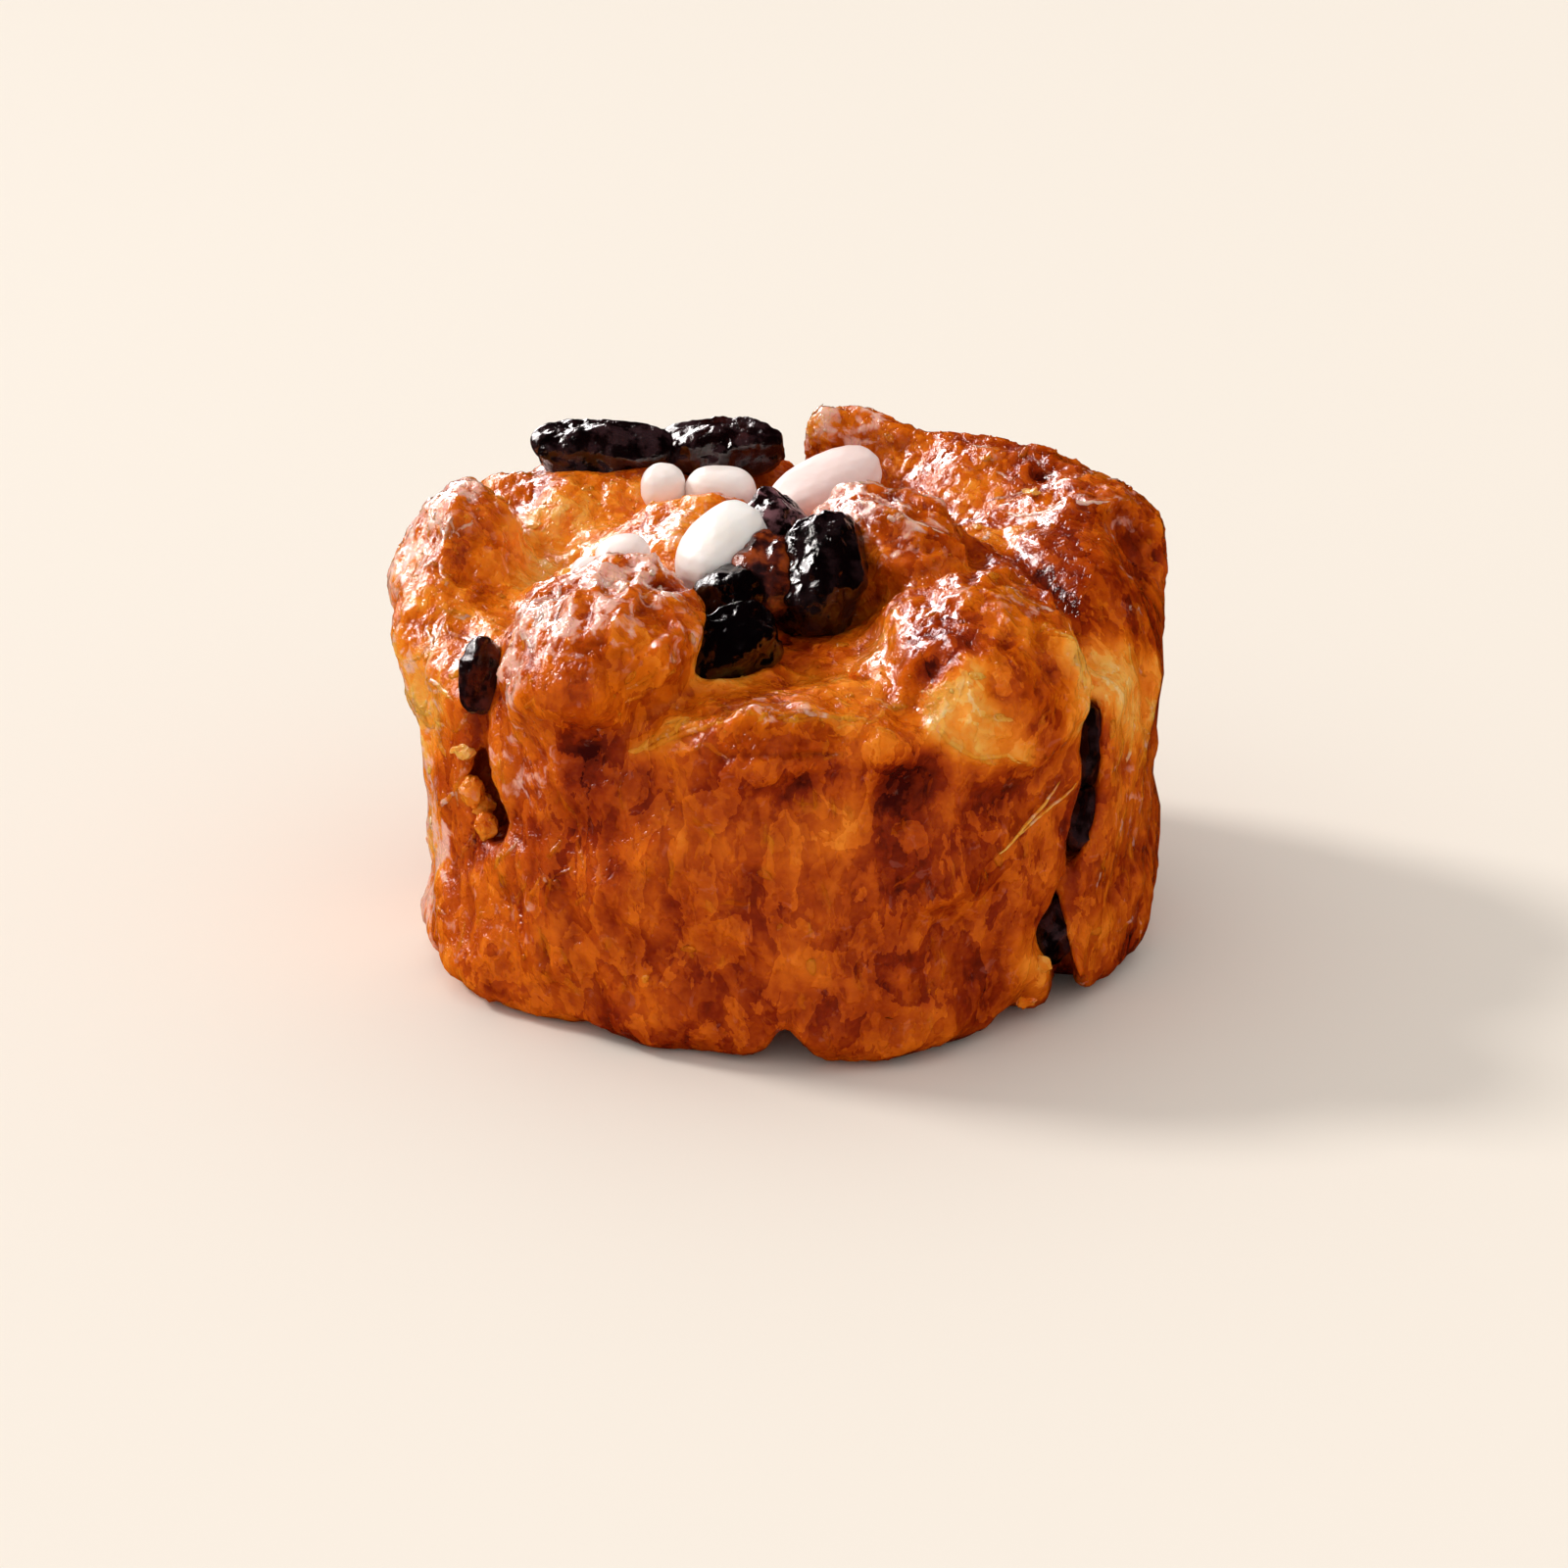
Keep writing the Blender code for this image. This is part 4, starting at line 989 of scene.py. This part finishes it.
# Each crumb: its middle, its half sizes in millimetres, and how far it is baked
CRUMBS = [
    ((-39.5, -24.5, 34), (1.5, 1.2, 0.9), 0.22), ((-38.6, -23.6, 28), (1.5, 1.3, 2.2), 0.44),
    ((-37.6, -22.6, 25.5), (1.6, 1.6, 1.7), 0.40), ((-37, -25.2, 24), (1.5, 1.1, 1.7), 0.48),
    ((33, 8, 56.6), (1.2, 0.8, 0.4), 0.16), ((33, -34, 9), (1.4, 0.8, 0.9), 0.40),
    ((31, -37, 5), (1.2, 0.8, 0.7), 0.50), ((9, -33, 48.5), (1.0, 0.8, 0.4), 0.44),
]
crumb_mesh = bpy.data.meshes.new("torn_crumbs")
crumb_mesh.from_pydata([[value * MM for value in middle] for middle, _, _ in CRUMBS], [], [])
for axis, key in enumerate(("wide", "deep", "tall")):
    store(crumb_mesh, key, [extent[axis] * MM for _, extent, _ in CRUMBS])
store(crumb_mesh, "bake", [bake for _, _, bake in CRUMBS])
store(crumb_mesh, "blush", [CRUMB_MILK_AND_SHEEN] * len(CRUMBS))
store(crumb_mesh, "glaze", [CRUMB_GLAZE] * len(CRUMBS))
crumbs = added("torn_crumbs", crumb_mesh)
tree, given, result = piece_tree("crumb_at_point", ("Raggedness",))
ball = node(tree, "GeometryNodeMeshIcoSphere", Radius=1.0, Subdivisions=4)
extent = node(tree, "ShaderNodeCombineXYZ", X=stored(tree, "wide"), Y=stored(tree, "deep"), Z=stored(tree, "tall"))
placed = node(tree, "GeometryNodeInstanceOnPoints", Points=given.outputs["Geometry"],
              Instance=ball.outputs["Mesh"], Scale=extent.outputs[0])
real = node(tree, "GeometryNodeRealizeInstances", Geometry=placed.outputs[0])
lumps = roughened(tree, real.outputs[0], CRUMB_LUMP_MM * MM, given.outputs["Raggedness"])
finish_tree(tree, lumps, given, result)
use_tree(crumbs, tree, {"Raggedness": CRUMB_RAGGEDNESS_MM * MM, "Finish": crust})
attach(crumbs, "root")


# The floor, the light and the camera. A pale floor in even light, a soft sun from the left, and behind the bun
# windows that show only in its gloss.

FLOOR_SIZE = 8.0
FLOOR_COLOUR = (0.88, 0.83, 0.76, 1.0)
ELEVATION = math.radians(23.5)
CAMERA_DISTANCE = 0.6
CAMERA_LENS_MM = 104.5
CLIP_START = 0.01
WINDOW_TINT = (1.0, 0.93, 0.93)
WINDOW_DISTANCE = 0.6
# Each window: its name, azimuth, elevation, width, height and radiance
WINDOWS = [
    ("window_low", 112, 24, 0.16, 0.12, 20.0),
    ("window_high", 138, 36, 0.16, 0.14, 22.0),
    ("window_left", 165, 25, 0.20, 0.25, 9.0),
    ("window_broad", 130, 20, 0.60, 0.40, 1.2),
]
SUN_STRENGTH = 1.6
SUN_ANGLE = math.radians(12)
SUN_TINT = (1.0, 0.95, 0.9)
SUN_FROM = Vector((-0.95, 0.30, 0.80))
SKY_TINT = (1.0, 0.96, 0.92, 1.0)
SKY_LEVEL, SKY_TOP = 0.72, 0.80
AIM = Vector((0.69, 0.2, 18.7)) * MM

bpy.ops.mesh.primitive_plane_add(size=FLOOR_SIZE, location=(0, 0, 0))
floor = bpy.context.object
floor.name = "floor"
floor_finish = material_with("floor_finish", Base_Color=FLOOR_COLOUR, Roughness=0.9, Specular_IOR_Level=0.1)[0]
floor.data.materials.append(floor_finish)
floor.visible_glossy = False


def faced(obj, back):
    """Turns a light or the camera so that its back points this way."""
    obj.rotation_mode = "QUATERNION"
    obj.rotation_quaternion = back.to_track_quat("Z", "Y")


def window(name, azimuth, elevation, width, height, radiance):
    """A soft light that shows only in the gloss. Azimuth is in degrees from +X, sizes are in metres."""
    light = bpy.data.lights.new(name, "AREA")
    light.shape = "RECTANGLE"
    light.size, light.size_y = width, height
    light.energy = radiance * math.pi * width * height
    light.color = WINDOW_TINT
    made = added(name, light)
    level = math.cos(math.radians(elevation))
    turn = math.radians(azimuth)
    toward = Vector((math.cos(turn) * level, math.sin(turn) * level, math.sin(math.radians(elevation))))
    made.location = AIM + toward * WINDOW_DISTANCE
    faced(made, toward)
    made.visible_diffuse = False
    made.visible_transmission = False


sun = added("daylight", bpy.data.lights.new("daylight", "SUN"))
sun.data.energy = SUN_STRENGTH
sun.data.angle = SUN_ANGLE
sun.data.color = SUN_TINT
faced(sun, SUN_FROM)
for setting in WINDOWS:
    window(*setting)

world = bpy.data.worlds.new("room")
bpy.context.scene.world = world
world.use_nodes = True
world.cycles_visibility.glossy = False
sky = world.node_tree
direction = sky.nodes.new("ShaderNodeTexCoord").outputs["Generated"]
height = node(sky, "ShaderNodeSeparateXYZ", Vector=direction).outputs["Z"]
wire(sky, sky.nodes["Background"], Color=SKY_TINT, Strength=remap(sky, height, 0.0, 0.9, SKY_LEVEL, SKY_TOP))

camera = added("camera", bpy.data.cameras.new("camera"))
back = Vector((0, -math.cos(ELEVATION), math.sin(ELEVATION)))
camera.location = AIM + back * CAMERA_DISTANCE
faced(camera, back)
camera.data.lens = CAMERA_LENS_MM
camera.data.clip_start = CLIP_START
bpy.context.scene.camera = camera
bpy.context.scene.view_settings.view_transform = "Standard"
